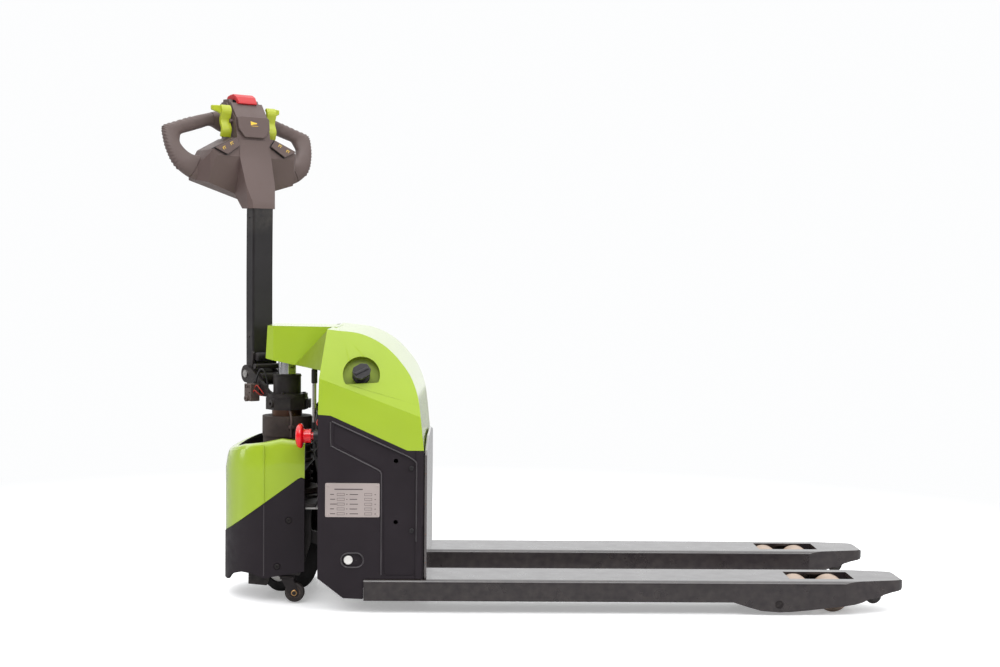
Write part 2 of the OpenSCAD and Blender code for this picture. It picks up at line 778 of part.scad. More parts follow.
module bogie_at(y) color(charcoal) truck() translate([0, y, 0]) {
    both_sides() plate_xz(load_wheel_w / 2 + 1.5, 5)
        link_2d(bogie_pivot - [bogie_half, 0], bogie_pivot + [bogie_half, 0], 12);
    // centre pin that the load arm carries, and the two wheel axles
    both_sides() rod_y(bogie_pivot, load_wheel_w / 2 + 6.5, 52, 6);
    axle_end = load_wheel_w / 2 + 4;
    for (side = [-1, 1]) rod_y(bogie_pivot + [side * bogie_half, 0], -axle_end, axle_end, 6);
}
module bogie_left() bogie_at(fork_y);
module bogie_right() bogie_at(-fork_y);

module load_wheel_at(y, side) color(cream) truck() translate([0, y, 0]) difference() {
    rod_y(bogie_pivot + [side * bogie_half, 0], -load_wheel_w / 2, load_wheel_w / 2, load_wheel_d / 2);
    rod_y(bogie_pivot + [side * bogie_half, 0], -load_wheel_w, load_wheel_w, 6 + run);
}
module load_wheel_front_left() load_wheel_at(fork_y, 1);
module load_wheel_rear_left() load_wheel_at(fork_y, -1);
module load_wheel_front_right() load_wheel_at(-fork_y, 1);
module load_wheel_rear_right() load_wheel_at(-fork_y, -1);

module entry_roller_at_y(y) color(cream) truck() translate([0, y, 0]) difference() {
    rod_y(entry_roller_at, -38, 38, entry_roller_d / 2);
    rod_y(entry_roller_at, -60, 60, 5 + run);
}
module entry_roller_left() entry_roller_at_y(fork_y);
module entry_roller_right() entry_roller_at_y(-fork_y);

base_frame();
bearing_ring();
drive_cover_upper();
drive_cover_lower();
cover_screws();
castor_fork_left();
castor_fork_right();
castor_wheel_left();
castor_wheel_right();
steering_yoke();
drive_motor();
brake_housing();
thrust_ring();
lift_cylinder();
steering_collar();
tiller_bracket();
pivot_pin();
switch_box();
drive_tyre();
drive_hub();
tiller_arm();
head_front();
head_back();
hand_grips();
throttle_paddles();
belly_button();
horn_button();
rocker_left();
rocker_right();
fork_left();
fork_right();
chassis_frame();
backrest_plate();
hood();
side_cover_left();
side_cover_right();
nameplate();
battery_pack();
pump_unit();
lift_arm();
ram_rod();
frame_pins();
frame_screws();
stop_housing();
key_base();
emergency_button();
isolator_key();
lift_crank();
push_rod_left();
push_rod_right();
load_arm_left();
load_arm_right();
bogie_left();
bogie_right();
load_wheel_front_left();
load_wheel_rear_left();
load_wheel_front_right();
load_wheel_rear_right();
entry_roller_left();
entry_roller_right();
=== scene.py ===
"""Finished look of the electric pallet truck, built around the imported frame.

Lengths are in millimetres, X from the backrest's face, Z up from the floor: TRUCK turns them into the
frame's metres. COLUMN does the same for what is drawn about the steering axis, with the operator at -X.
"""
import json
import math
from contextlib import contextmanager

import bmesh
import bpy
from mathutils import Matrix, Vector


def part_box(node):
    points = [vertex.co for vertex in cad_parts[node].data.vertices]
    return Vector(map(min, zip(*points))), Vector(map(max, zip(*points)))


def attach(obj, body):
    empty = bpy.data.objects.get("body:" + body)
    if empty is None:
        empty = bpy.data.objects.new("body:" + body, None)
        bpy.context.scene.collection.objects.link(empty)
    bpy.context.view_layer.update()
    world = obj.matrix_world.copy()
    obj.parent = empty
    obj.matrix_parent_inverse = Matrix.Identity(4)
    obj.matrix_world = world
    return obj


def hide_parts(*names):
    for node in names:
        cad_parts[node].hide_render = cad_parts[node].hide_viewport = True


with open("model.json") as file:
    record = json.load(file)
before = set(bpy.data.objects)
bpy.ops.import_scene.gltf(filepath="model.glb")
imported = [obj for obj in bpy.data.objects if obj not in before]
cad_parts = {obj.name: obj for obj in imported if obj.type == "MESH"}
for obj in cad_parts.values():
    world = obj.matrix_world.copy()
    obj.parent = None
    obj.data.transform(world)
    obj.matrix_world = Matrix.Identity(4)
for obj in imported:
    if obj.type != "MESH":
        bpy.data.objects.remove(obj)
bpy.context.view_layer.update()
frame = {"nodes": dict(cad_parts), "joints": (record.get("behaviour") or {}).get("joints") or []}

MM = 0.001
JOINTS = {joint["name"]: joint for joint in frame["joints"]}
FLOOR_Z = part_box("load_wheel_front_left")[0].z
COLUMN_X = JOINTS["steer"]["pos_m"][0]
AXLE = JOINTS["drive_spin"]["axis"]
STEER = math.atan2(AXLE[0], AXLE[1])
TRUCK = Matrix.Translation((0, 0, FLOOR_Z)) @ Matrix.Scale(MM, 4)
COLUMN = (
    Matrix.Translation((COLUMN_X, 0, FLOOR_Z)) @ Matrix.Rotation(-STEER, 4, "Z") @ Matrix.Scale(MM, 4)
)


# ---------------------------------------------------------------- materials


def link(tree, source, target):
    tree.links.new(source, target)


def node(tree, kind, **inputs):
    made = tree.nodes.new(kind)
    for key, value in inputs.items():
        made.inputs[key.replace("_", " ")].default_value = value
    return made


def ranged(tree, value, smooth=False, **span):
    """Maps a value from one range to another."""
    made = node(tree, "ShaderNodeMapRange", **span)
    if smooth:
        made.interpolation_type = "SMOOTHSTEP"
    link(tree, value, made.inputs["Value"])
    return made.outputs["Result"]


def joined(tree, operation, first, second):
    """Joins two values by a sum, product or maximum."""
    made = tree.nodes.new("ShaderNodeMath")
    made.operation = operation
    link(tree, first, made.inputs[0])
    link(tree, second, made.inputs[1])
    return made.outputs[0]


def mixed(tree, share, first, second):
    """Mixes two colours, each a tuple or the output of a node."""
    made = tree.nodes.new("ShaderNodeMix")
    made.data_type = "RGBA"
    link(tree, share, made.inputs[0])
    for socket, color in ((made.inputs[6], first), (made.inputs[7], second)):
        if isinstance(color, tuple):
            socket.default_value = (*color, 1)
        else:
            link(tree, color, socket)
    return made.outputs[2]


def blotches(tree, coords, scale, detail, low, high):
    """Soft noise mapped to the range low to high."""
    noise = node(tree, "ShaderNodeTexNoise", Scale=scale, Detail=detail)
    link(tree, coords, noise.inputs["Vector"])
    return ranged(tree, noise.outputs["Fac"], From_Min=0.3, From_Max=0.7, To_Min=low, To_Max=high)


def finish(
    name, color, rough, vary=0.12, grain=900.0, bump=0.02, metal=0.0, patch=9.0,
    coat=0.0, wear=0.0, wear_color=(0.5, 0.48, 0.46), streak=None, spec=0.5,
):
    """Painted, moulded or machined finish: uneven colour and gloss, fine grain and rubbed edges."""
    material = bpy.data.materials.new(name)
    material.use_nodes = True
    tree = material.node_tree
    shader = tree.nodes["Principled BSDF"]
    shader.inputs["Metallic"].default_value = metal
    shader.inputs["Coat Weight"].default_value = coat
    shader.inputs["Coat Roughness"].default_value = 0.12
    shader.inputs["Specular IOR Level"].default_value = spec
    coords = tree.nodes.new("ShaderNodeTexCoord").outputs["Object"]
    if streak:
        stretch = node(tree, "ShaderNodeMapping", Scale=streak)
        link(tree, coords, stretch.inputs["Vector"])
        coords = stretch.outputs["Vector"]
    dark = tuple(c * (1 - vary) for c in color)
    light = tuple(min(1, c * (1 + vary)) for c in color)
    base = mixed(tree, blotches(tree, coords, patch, 6, 0, 1), dark, light)
    if wear:
        edge = tree.nodes.new("ShaderNodeNewGeometry").outputs["Pointiness"]
        edge = ranged(tree, edge, From_Min=0.52, From_Max=0.6, To_Max=wear)
        rub = joined(tree, "MULTIPLY", edge, blotches(tree, coords, 60, 8, 0, 1))
        base = mixed(tree, rub, base, wear_color)
    link(tree, base, shader.inputs["Base Color"])
    gloss = blotches(tree, coords, patch * 4, 8, rough * 0.85, min(1, rough * 1.2))
    link(tree, gloss, shader.inputs["Roughness"])
    fine = node(tree, "ShaderNodeTexNoise", Scale=grain, Detail=3.0)
    link(tree, coords, fine.inputs["Vector"])
    relief = node(tree, "ShaderNodeBump", Strength=bump * 10, Distance=0.0005)
    link(tree, fine.outputs["Fac"], relief.inputs["Height"])
    link(tree, relief.outputs["Normal"], shader.inputs["Normal"])
    return material


# name, colour, then roughness, variation, grain and bump
GREEN = finish("moulded_green", (0.31, 0.44, 0.008), 0.34, 0.02, 1400, 0.004, coat=1.0)
# painted shade: a darker, uncoated copy of the hood's green, for its gussets and the inside of the key
# recess
PAINTED_SHADE_GREEN = finish("painted_shade_green", (0.19, 0.26, 0.005), 0.4, 0.02, 1400, 0.004)
COVER_BLACK = finish("moulded_black", (0.019, 0.014, 0.018), 0.5, 0.1, 1600, 0.03, spec=0.24)
STEEL_PAINT = finish(
    "charcoal_paint", (0.018, 0.014, 0.015), 0.38, 0.18, 500, 0.03, spec=0.35,
    wear=0.3, wear_color=(0.08, 0.07, 0.06),
)
ARM_BLACK = finish(
    "arm_black", (0.012, 0.01, 0.012), 0.4, 0.25, 500, 0.02, spec=0.4,
    wear=0.35, wear_color=(0.08, 0.07, 0.06),
)
LOAD_PLATE = finish("load_plate_paint", (0.1, 0.09, 0.09), 0.16, 0.1, 400, 0.008, metal=0.2, coat=0.9)
FORK_PAINT = finish(
    "fork_paint", (0.02, 0.015, 0.017), 0.3, 0.12, 420, 0.004, patch=5, coat=0.9, spec=0.4,
    wear=0.25, wear_color=(0.1, 0.085, 0.075),
)
GREY_PLASTIC = finish("head_plastic", (0.106, 0.073, 0.067), 0.48, 0.05, 2200, 0.05, spec=0.4)
GRIP = finish("grip_rubber", (0.1, 0.07, 0.064), 0.52, 0.06, 2600, 0.05, spec=0.45)
LIME = finish("paddle_lime", (0.36, 0.41, 0.013), 0.35, 0.04, 900, 0.01, coat=0.2)
RED = finish("stop_red", (0.72, 0.004, 0.01), 0.22, 0.03, 700, 0.01, coat=0.6)
SOFT_RED = finish("belly_red", (0.46, 0.006, 0.01), 0.4, 0.03, 1500, 0.02)
# painted highlight: a lighter black for the raised beads, standing in for the light their ridges catch
PAINTED_HIGHLIGHT_BLACK = finish("painted_highlight_black", (0.05, 0.044, 0.048), 0.36, 0.3, 900, 0.02, patch=20)
KEY_BLACK = finish("key_black", (0.018, 0.016, 0.018), 0.38, 0.1, 1500, 0.03)
RUBBER = finish("tyre_rubber", (0.022, 0.02, 0.02), 0.72, 0.2, 700, 0.08)
CASTOR_RUBBER = finish("castor_tyre", (0.035, 0.028, 0.026), 0.5, 0.15, 900, 0.04)
POLYURETHANE = finish("polyurethane", (0.34, 0.25, 0.19), 0.42, 0.1, 600, 0.03, patch=30)
CHROME = finish("chrome", (0.78, 0.78, 0.8), 0.07, 0.02, 900, 0.002, metal=1.0)
STEEL = finish("bright_steel", (0.62, 0.6, 0.58), 0.3, 0.08, 900, 0.02, metal=1.0, streak=(1, 1, 9))
ZINC = finish("zinc_bright", (0.78, 0.76, 0.73), 0.42, 0.05, 900, 0.01, metal=0.25)
BRASS = finish("brass", (0.8, 0.47, 0.2), 0.3, 0.1, 900, 0.02, metal=1.0)
BRONZE = finish("bronze", (0.17, 0.095, 0.065), 0.36, 0.15, 900, 0.03, metal=0.8)
CAST_BROWN = finish("cast_brown", (0.05, 0.034, 0.029), 0.62, 0.3, 240, 0.16, patch=40)
PLATE = finish("plate_aluminium", (0.5, 0.43, 0.41), 0.4, 0.05, 900, 0.01, metal=0.45)
PLATE_INK = finish("plate_ink", (0.09, 0.07, 0.07), 0.5)
SYMBOL = finish("symbol_yellow", (0.8, 0.52, 0.05), 0.5)
CABLE_RED = finish("cable_red", (0.45, 0.03, 0.02), 0.45)
BATTERY = finish("battery_case", (0.03, 0.034, 0.04), 0.5, 0.12, 900, 0.05)
BROWN = finish("switch_brown", (0.085, 0.06, 0.052), 0.5, 0.15, 900, 0.04)


# ---------------------------------------------------------------- building blocks

# smallest radius of a turned shape, so that no ring shrinks to a point
POINT_R = 0.01
TUBE_SIDES = 14


@contextmanager
def drafting(mesh, face_outwards=True):
    """Hands out a bmesh of the mesh and writes it back at the end."""
    draft = bmesh.new()
    draft.from_mesh(mesh)
    yield draft
    if face_outwards:
        bmesh.ops.recalc_face_normals(draft, faces=draft.faces)
    draft.to_mesh(mesh)
    draft.free()


def fill(draft, edges):
    bmesh.ops.edgenet_fill(draft, edges=edges)


def make(name, verts, faces, where=TRUCK):
    """A mesh object from points given in where's millimetres, with outward normals."""
    mesh = bpy.data.meshes.new(name)
    mesh.from_pydata([where @ Vector(v) for v in verts], [], faces)
    with drafting(mesh):
        pass
    obj = bpy.data.objects.new(name, mesh)
    bpy.context.scene.collection.objects.link(obj)
    return obj


def prism(outline, low, high, axis="Y", where=TRUCK):
    """A closed outline given thickness along an axis. Outlines across Y hold (x, z), across X (y, z)."""
    order = {
        "X": lambda u, v, w: (w, u, v),
        "Y": lambda u, v, w: (u, w, v),
        "Z": lambda u, v, w: (u, v, w),
    }[axis]
    count = len(outline)
    verts = [order(u, v, w) for w in (low, high) for u, v in outline]
    faces = [tuple(range(count)), tuple(range(2 * count - 1, count - 1, -1))]
    faces += [(i, (i + 1) % count, count + (i + 1) % count, count + i) for i in range(count)]
    return make("prism", verts, faces, where)


def rectangle(low_u, low_v, high_u, high_v):
    return [(low_u, low_v), (high_u, low_v), (high_u, high_v), (low_u, high_v)]


def box(low, high, where=TRUCK):
    return prism(rectangle(low[0], low[2], high[0], high[2]), low[1], high[1], "Y", where)


def loft(rings, where=TRUCK, caps=True, closed=True):
    """A skin over rings of equal length. Caps close the first and last ring."""
    count = len(rings[0])
    verts = [point for ring in rings for point in ring]
    faces = []
    for r in range(len(rings) - 1):
        for i in range(count if closed else count - 1):
            j = (i + 1) % count
            faces.append((r * count + i, r * count + j, (r + 1) * count + j, (r + 1) * count + i))
    if caps:
        faces.append(tuple(range(count)))
        faces.append(tuple(range(len(verts) - 1, len(verts) - count - 1, -1)))
    return make("loft", verts, faces, where)


def frame_along(origin, axis, where=TRUCK):
    """A millimetre frame at origin whose Z runs along axis."""
    turn = Vector(axis).to_track_quat("Z", "Y").to_matrix().to_4x4()
    return where @ Matrix.Translation(origin) @ turn


def outward(x, y, z):
    """A frame on the near or far side of the truck, its Z pointing away from the middle."""
    return frame_along((x, y, z), (0, math.copysign(1, y), 0))


def crosswise(x, z, y=0):
    """A frame on the steered column, its Z along the column's Y."""
    return frame_along((x, y, z), (0, 1, 0), COLUMN)


def upright(x, y, where=TRUCK):
    return where @ Matrix.Translation((x, y, 0))


def hoop(radius, height, segments):
    """Points round Z at a height."""
    angles = [math.tau * i / segments for i in range(segments)]
    return [(radius * math.cos(a), radius * math.sin(a), height) for a in angles]


def lathe(profile, where, segments):
    """A turned shape: profile is (radius, height) points from bottom to top."""
    return loft([hoop(max(radius, POINT_R), height, segments) for radius, height in profile], where)


def revolve(profile, where, segments):
    """A turned shape with an open middle: profile is a closed loop of (radius, height) points."""
    return weld(loft([hoop(radius, height, segments) for radius, height in profile], where, caps=False))


def bar(radius, low, high, where, segments=24):
    """A plain round bar from low to high along Z."""
    return lathe([(0, low), (radius, low), (radius, high), (0, high)], where, segments)


def ring(outer, inner, low, high, where, rounding, segments=64):
    """A turned ring with rounded corners."""
    r = rounding
    profile = [
        (inner, low), (outer - r, low), (outer - 0.3 * r, low + 0.3 * r), (outer, low + r),
        (outer, high - r), (outer - 0.3 * r, high - 0.3 * r), (outer - r, high), (inner, high),
    ]
    return revolve([*profile, profile[0]], where, segments)


def weld(obj):
    with drafting(obj.data) as draft:
        bmesh.ops.remove_doubles(draft, verts=draft.verts, dist=1e-6)
    return obj


def bake(obj):
    """Applies the modifiers to the mesh."""
    graph = bpy.context.evaluated_depsgraph_get()
    mesh = bpy.data.meshes.new_from_object(obj.evaluated_get(graph))
    obj.modifiers.clear()
    obj.data = mesh
    return obj


def combine(obj, others, operation):
    for other in others:
        step = obj.modifiers.new("bool", "BOOLEAN")
        step.operation = operation
        step.solver = "EXACT"
        step.object = other
    bake(obj)
    for other in others:
        bpy.data.objects.remove(other)
    return obj


def carve(obj, *cutters):
    return combine(obj, cutters, "DIFFERENCE")


def fuse(obj, *others):
    return combine(obj, others, "UNION")


def bevel(obj, width, segments, angle):
    """A modifier that rounds every edge sharper than angle."""
    step = obj.modifiers.new("bevel", "BEVEL")
    step.width = width * MM
    step.segments = segments
    step.limit_method = "ANGLE"
    step.angle_limit = math.radians(angle)
    return step


def soften(obj, width, segments=3, angle=32):
    bevel(obj, width, segments, angle).miter_outer = "MITER_ARC"
    return bake(obj)


def join(obj, *others):
    """One object from several, with no boolean: for parts that only touch."""
    with drafting(obj.data, face_outwards=False) as draft:
        for part in others:
            draft.from_mesh(part.data)
    for part in others:
        bpy.data.objects.remove(part)
    return obj


def piece(obj, name, body, slot, material, *nodes, angle=35):
    """Names the piece, gives it its finish, ties it to its body and hides the CAD nodes it stands for."""
    obj.name = name
    obj.data.name = name
    obj.data.materials.clear()
    obj.data.materials.append(material)
    for face in obj.data.polygons:
        face.use_smooth = True
    obj.data.set_sharp_from_angle(angle=math.radians(angle))
    obj.modifiers.new("normals", "WEIGHTED_NORMAL").keep_sharp = True
    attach(obj, body)
    if nodes:
        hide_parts(*nodes)
    return obj


def rounded(outline, radius, steps=5):
    """The outline with every corner turned into an arc, where its sides are long enough."""
    points = []
    count = len(outline)
    for i, corner in enumerate(outline):
        here = Vector(corner)
        back = Vector(outline[i - 1]) - here
        ahead = Vector(outline[(i + 1) % count]) - here
        turn = back.angle(ahead)
        reach = min(radius / math.tan(turn / 2), 0.48 * back.length, 0.48 * ahead.length)
        start = here + back.normalized() * reach
        end = here + ahead.normalized() * reach
        for k in range(steps + 1):
            t = k / steps
            points.append(tuple(start * (1 - t) ** 2 + here * 2 * t * (1 - t) + end * t ** 2))
    return points


def spline(points, steps):
    """A smooth curve through the points."""
    ends = [points[0], *points, points[-1]]
    curve = []
    for a, b, c, d in zip(ends, ends[1:], ends[2:], ends[3:]):
        a, b, c, d = Vector(a), Vector(b), Vector(c), Vector(d)
        for k in range(steps):
            t = k / steps
            curve.append(tuple(0.5 * (
                2 * b + (c - a) * t + (2 * a - 5 * b + 4 * c - d) * t ** 2 + (3 * b - a - 3 * c + d) * t ** 3
            )))
    curve.append(tuple(points[-1]))
    return curve


def tube(points, radius, where=TRUCK):
    """A round cable or bar along a smooth path."""
    path = [Vector(p) for p in (spline(points, 5) if len(points) > 2 else points)]
    angles = [math.tau * k / TUBE_SIDES for k in range(TUBE_SIDES)]
    rings = []
    side = None
    for i, point in enumerate(path):
        ahead = (path[min(i + 1, len(path) - 1)] - path[max(i - 1, 0)]).normalized()
        if side is None:
            side = ahead.orthogonal().normalized()
        side = (side - ahead * side.dot(ahead)).normalized()
        other = ahead.cross(side)
        rings.append([point + (side * math.cos(a) + other * math.sin(a)) * radius for a in angles])
    return loft(rings, where)


def along(table, x):
    """Straight-line interpolation in a table of (x, value) with rising x."""
    if x <= table[0][0]:
        return table[0][1]
    for (x0, v0), (x1, v1) in zip(table, table[1:]):
        if x <= x1:
            return v0 + (v1 - v0) * (x - x0) / (x1 - x0)
    return table[-1][1]


def circle(center, radius, count=32):
    angles = [math.tau * k / count for k in range(count)]
    return [(center[0] + radius * math.cos(a), center[1] + radius * math.sin(a)) for a in angles]


def hex_bolt(origin, axis, radius, height, where=TRUCK):
    """A socket-head screw: round head with a hexagon hole."""
    spot = frame_along(origin, axis, where)
    edge = radius * 0.12
    head = lathe([
        (0, 0), (radius, 0), (radius, height - edge), (radius - edge, height), (0, height),
    ], spot, 32)
    socket = circle((0, 0), 0.52 * radius, 6)
    return carve(head, prism(socket, height * 0.4, height + 2, "Z", spot))


def trim(obj, point, normal, where=TRUCK):
    """Cuts away what lies beyond a plane and closes the cut."""
    turn = where.to_3x3().normalized()
    with drafting(obj.data) as draft:
        everything = draft.verts[:] + draft.edges[:] + draft.faces[:]
        cut = bmesh.ops.bisect_plane(
            draft, geom=everything, plane_co=where @ Vector(point), plane_no=turn @ Vector(normal),
            clear_outer=True, dist=1e-7,
        )
        fill(draft, [item for item in cut["geom_cut"] if isinstance(item, bmesh.types.BMEdge)])
    return obj


def round_edges(obj, width, pick, segments, least=12):
    """Rounds the edges whose middle pick accepts, if they bend by more than least degrees."""
    back = TRUCK.inverted()
    with drafting(obj.data, face_outwards=False) as draft:
        chosen = [
            edge for edge in draft.edges
            if len(edge.link_faces) == 2 and edge.calc_face_angle(0) > math.radians(least)
            and pick(back @ ((edge.verts[0].co + edge.verts[1].co) / 2))
        ]
        bmesh.ops.bevel(
            draft, geom=chosen, offset=width * MM, segments=segments, profile=0.5, affect="EDGES",
            clamp_overlap=True, miter_outer="ARC",
        )


def slab(outline, y, depth):
    """A plate on the near side: its outer face at y, its thickness towards the centre line."""
    return prism(outline, y, y + depth)


# ---------------------------------------------------------------- hood

SIDE_Y = 275
CREASE = (-256, 559)
CREASE_FALL = math.radians(20.7)
LEAN = math.radians(17)
ROOF = [
    (-241, 674), (-217, 671), (-172, 666), (-136, 654), (-101, 633), (-70, 603), (-41, 563), (-24, 518),
    (-16, 468), (-8, 389),
]
FACET = (
    TRUCK @ Matrix.Translation((CREASE[0], -SIDE_Y, CREASE[1]))
    @ Matrix.Rotation(CREASE_FALL, 4, "Y") @ Matrix.Rotation(-LEAN, 4, "X")
)
# the recess for the key: its X is level, its Y down the facet and its Z into the hood
RECESS = (
    FACET @ Matrix.Translation((89, 0, 45)) @ Matrix.Rotation(math.radians(-90), 4, "X")
    @ Matrix.Rotation(math.radians(-25), 4, "Z")
)
RECESS_R = 44
RECESS_FLAT = 22
RECESS_DEPTH = 17
# corners of the web between the beam and the hood's front edge
GUSSET = [
    (-334, 89.9, 579.5), (-252, 267.5, 577), (-240.5, 238, 672), (-246, 89.9, 675), (-246, 89.9, 559),
]


def leaning_sides(obj):
    """Cuts both sides along the planes that lean in above the crease."""
    up = (math.sin(CREASE_FALL), math.cos(CREASE_FALL))
    for side in (-1, 1):
        normal = (math.sin(LEAN) * up[0], side * math.cos(LEAN), math.sin(LEAN) * up[1])
        trim(obj, (CREASE[0], side * SIDE_Y, CREASE[1]), normal)
    return obj


def recess_outline():
    start = math.asin(RECESS_FLAT / RECESS_R)
    angles = [start - (math.pi + 2 * start) * k / 28 for k in range(29)]
    arc = [(RECESS_R * math.cos(a), RECESS_R * math.sin(a)) for a in angles]
    return rounded(arc, 7, 4)


def build_hood():
    """Roof in one sweep, sides leaning in above a crease, a beam to the tiller and a recess for the key."""
    roof = spline(ROOF, 4)
    outline = [(-259, 473), (-256.5, 559), *roof, (-47, 389), (-229, 471)]
    main = prism(outline, -SIDE_Y, SIDE_Y)
    leaning_sides(main)

    beam = prism([(-409, 594), (-276, 567), (-240, 558), (-230, 674), (-404, 676)], -90, 90)
    for side in (-1, 1):
        trim(beam, (-388, side * 90, 600), (-0.65, side * 0.76, 0))
    gussets = []
    for side in (-1, 1):
        verts = [(x, side * y, z) for x, y, z in GUSSET]
        gussets.append(make("gusset", verts, [(0, 1, 2), (0, 2, 3), (0, 3, 4), (0, 4, 1), (1, 4, 3, 2)]))
    fuse(main, beam, *gussets)

    top_line = [(p[0], p[1]) for p in roof]
    round_edges(main, 9, lambda m: m.x > -250 and m.z > along(top_line, m.x) - 3 and abs(m.y) > 60, 5)
    round_edges(main, 7, lambda m: m.x < -252 and m.z > 668, 4, 30)
    carve(main, prism(recess_outline(), -8, RECESS_DEPTH, "Z", RECESS))
    soften(main, 2.2, 3, 11)
    return main


def shade_hood(hood):
    """Flat gussets and the inside of the recess in a darker green: painted shade."""
    hood.data.materials.append(PAINTED_SHADE_GREEN)
    low, high = TRUCK @ Vector((-336, 0, 540)), TRUCK @ Vector((-236, 0, 660))
    to_recess = RECESS.inverted()
    for face in hood.data.polygons:
        at = face.center
        by_gusset = low.x < at.x < high.x and low.z < at.z < high.z
        if by_gusset and face.area > 1e-4 and abs(face.normal.x) > 0.3:
            face.use_smooth = False
            face.material_index = 1
        spot = to_recess @ at
        if math.hypot(spot.x, spot.y) < RECESS_R + 1 and spot.z > 1.5:
            face.material_index = 1


def build_joint_liner():
    """Dark liner that shows as a fine gap between the hood and the black covers."""
    edge = [
        (-258, 469), (-229, 466), (-49, 384), (-14, 384), (-14, 394), (-47, 392), (-229, 474), (-258, 476),
    ]
    liner = slab(edge, -272, 544)
    piece(soften(liner, 0.8), "hood_joint_liner", "chassis", "black_plastic", KEY_BLACK)


shade_hood(piece(build_hood(), "hood_shell", "chassis", "green_plastic", GREEN, "hood", angle=24))
build_joint_liner()


def build_key():
    """Isolator key: a faceted bow that leans over its round lock."""
    floor = RECESS @ Matrix.Translation((0, 0, RECESS_DEPTH))
    above = RECESS @ Matrix.Translation((0, 0, RECESS_DEPTH - 5))
    disc = lathe([(0, -6), (19, -6), (21, -4.5), (21, 0.2), (0, 0.2)], floor, 40)
    collar = lathe([(0, -14), (10, -14), (12, -11), (12, 0), (0, 0)], above, 24)
    piece(soften(join(disc, collar), 0.6, 2), "key_lock", "chassis", "black_plastic", KEY_BLACK, "key_base")

    tilt = RECESS @ Matrix.Translation((0, -2, 0)) @ Matrix.Rotation(math.radians(-20), 4, "Z")
    facets = [(-21, -8), (-14, -17), (6, -19), (19, -12), (22, 4), (14, 15), (-8, 17), (-20, 8)]
    bow = prism(facets, -27, -12, "Z", tilt)
    waist = prism([(-13, -11), (11, -12), (14, 6), (8, 11), (-11, 10)], -13, 6, "Z", tilt)
    stem = bar(6.6, -8, 8, RECESS, 20)
    rib = prism([(-17, -3), (17, -5), (17, 1), (-17, 3)], -30, -20, "Z", tilt)
    key = fuse(bow, waist, stem, rib)
    piece(soften(key, 1.6, 3, 25), "isolator_key_bow", "key", "black_plastic", KEY_BLACK, "isolator_key")


build_key()


# ---------------------------------------------------------------- side covers

COVER_T = 5
HOLE_R = 5.5
HOLES = [(-74, 218), (-74, 364)]
SCREWS = [(-37, 347), (-36, 198)]
PIN = (-186, 127)
COVER_EDGE = [
    (-259, 83), (-259, 473), (-229, 471), (-47, 389), (-8, 389), (-8, 83), (-150, 83), (-150, 34),
    (-198, 36),
]
# the raised border runs round this zone; the plate inside it lies lower
WELT_INNER = [
    (-229, 456), (-229, 430), (-228, 402), (-224, 397), (-170, 370), (-117, 343), (-110, 336),
    (-108, 320), (-108, 200), (-108, 92),
]
WELT_EDGE = [
    (-226, 457), (-140, 418), (-60, 382), (-38, 371), (-27, 362), (-25, 350), (-25, 260), (-25, 172),
]
ZONE_HIGH = [(-222, 455), (-46, 375), (-26, 366), (-28, 90), (-102, 90), (-106, 340), (-222, 403)]


def obround(left, right, radius):
    turn = [math.pi * (0.5 + k / 14) for k in range(15)]
    ends = [(left[0] + radius * math.cos(a), left[1] + radius * math.sin(a)) for a in turn]
    return ends + [(right[0] - radius * math.cos(a), right[1] - radius * math.sin(a)) for a in turn]


def mirrored(obj):
    obj.data.transform(Matrix.Scale(-1, 4, (0, 1, 0)))
    obj.data.flip_normals()
    return obj


def build_side_cover(side):
    """Black moulded panel with a sunken field, bolt holes and an obround dish round the crank pin."""
    y = -SIDE_Y
    panel = slab(rounded(COVER_EDGE, 3, 3), y, COVER_T)
    carve(panel, slab(rounded(ZONE_HIGH, 9), y - 1, 3.6))
    dish = slab(obround(PIN, (PIN[0] + 17, PIN[1]), 15), y - 1, 4.6)
    bore = slab(circle(PIN, 11.4), y - 2, 10)
    eye = slab(circle((PIN[0] + 19, PIN[1]), 2.2, 16), y - 2, 10)
    holes = [slab(circle(at, HOLE_R), y - 2, 10) for at in HOLES]
    sinks = [slab(circle(at, 7), y - 2, 3.8) for at in SCREWS]
    groove = slab([(-29, 384), (-26.5, 384), (-26.5, 84), (-29, 84)], y - 1, 2.6)
    notch = slab([(-12, 210), (-6, 206), (-6, 80), (-12, 80)], y - 1, 4)
    carve(panel, dish)
    carve(panel, bore, eye, groove, notch, *holes, *sinks)
    soften(panel, 1.3, 3, 30)
    round_dish = obround(PIN, (PIN[0] + 19, PIN[1]), 17) + [(PIN[0], PIN[1] + 17)]
    lines = (WELT_INNER, WELT_EDGE, round_dish)
    welts = join(*[tube([(x, y - 0.3, z) for x, z in line], 1.7) for line in lines])
    if side > 0:
        mirrored(panel)
        mirrored(welts)
    word = "right" if side < 0 else "left"
    # the beads get the lighter black: a painted highlight along their ridges
    piece(welts, f"side_welts_{word}", "chassis", "black_plastic", PAINTED_HIGHLIGHT_BLACK)
    piece(panel, f"side_panel_{word}", "chassis", "black_plastic", COVER_BLACK, f"side_cover_{word}")


for side in (-1, 1):
    build_side_cover(side)


def build_frame_hardware():
    """Screws in the side covers."""
    screws = []
    for side in (-1, 1):
        for x, z in SCREWS:
            screws.append(hex_bolt((x, side * (SIDE_Y - 1.5), z), (0, side, 0), 5.6, 2.6))
            screws.append(bar(4, -8, 0, outward(x, side * SIDE_Y, z), 20))
    piece(join(*screws), "frame_screw_heads", "chassis", "bright_steel", KEY_BLACK, "frame_screws")


build_frame_hardware()


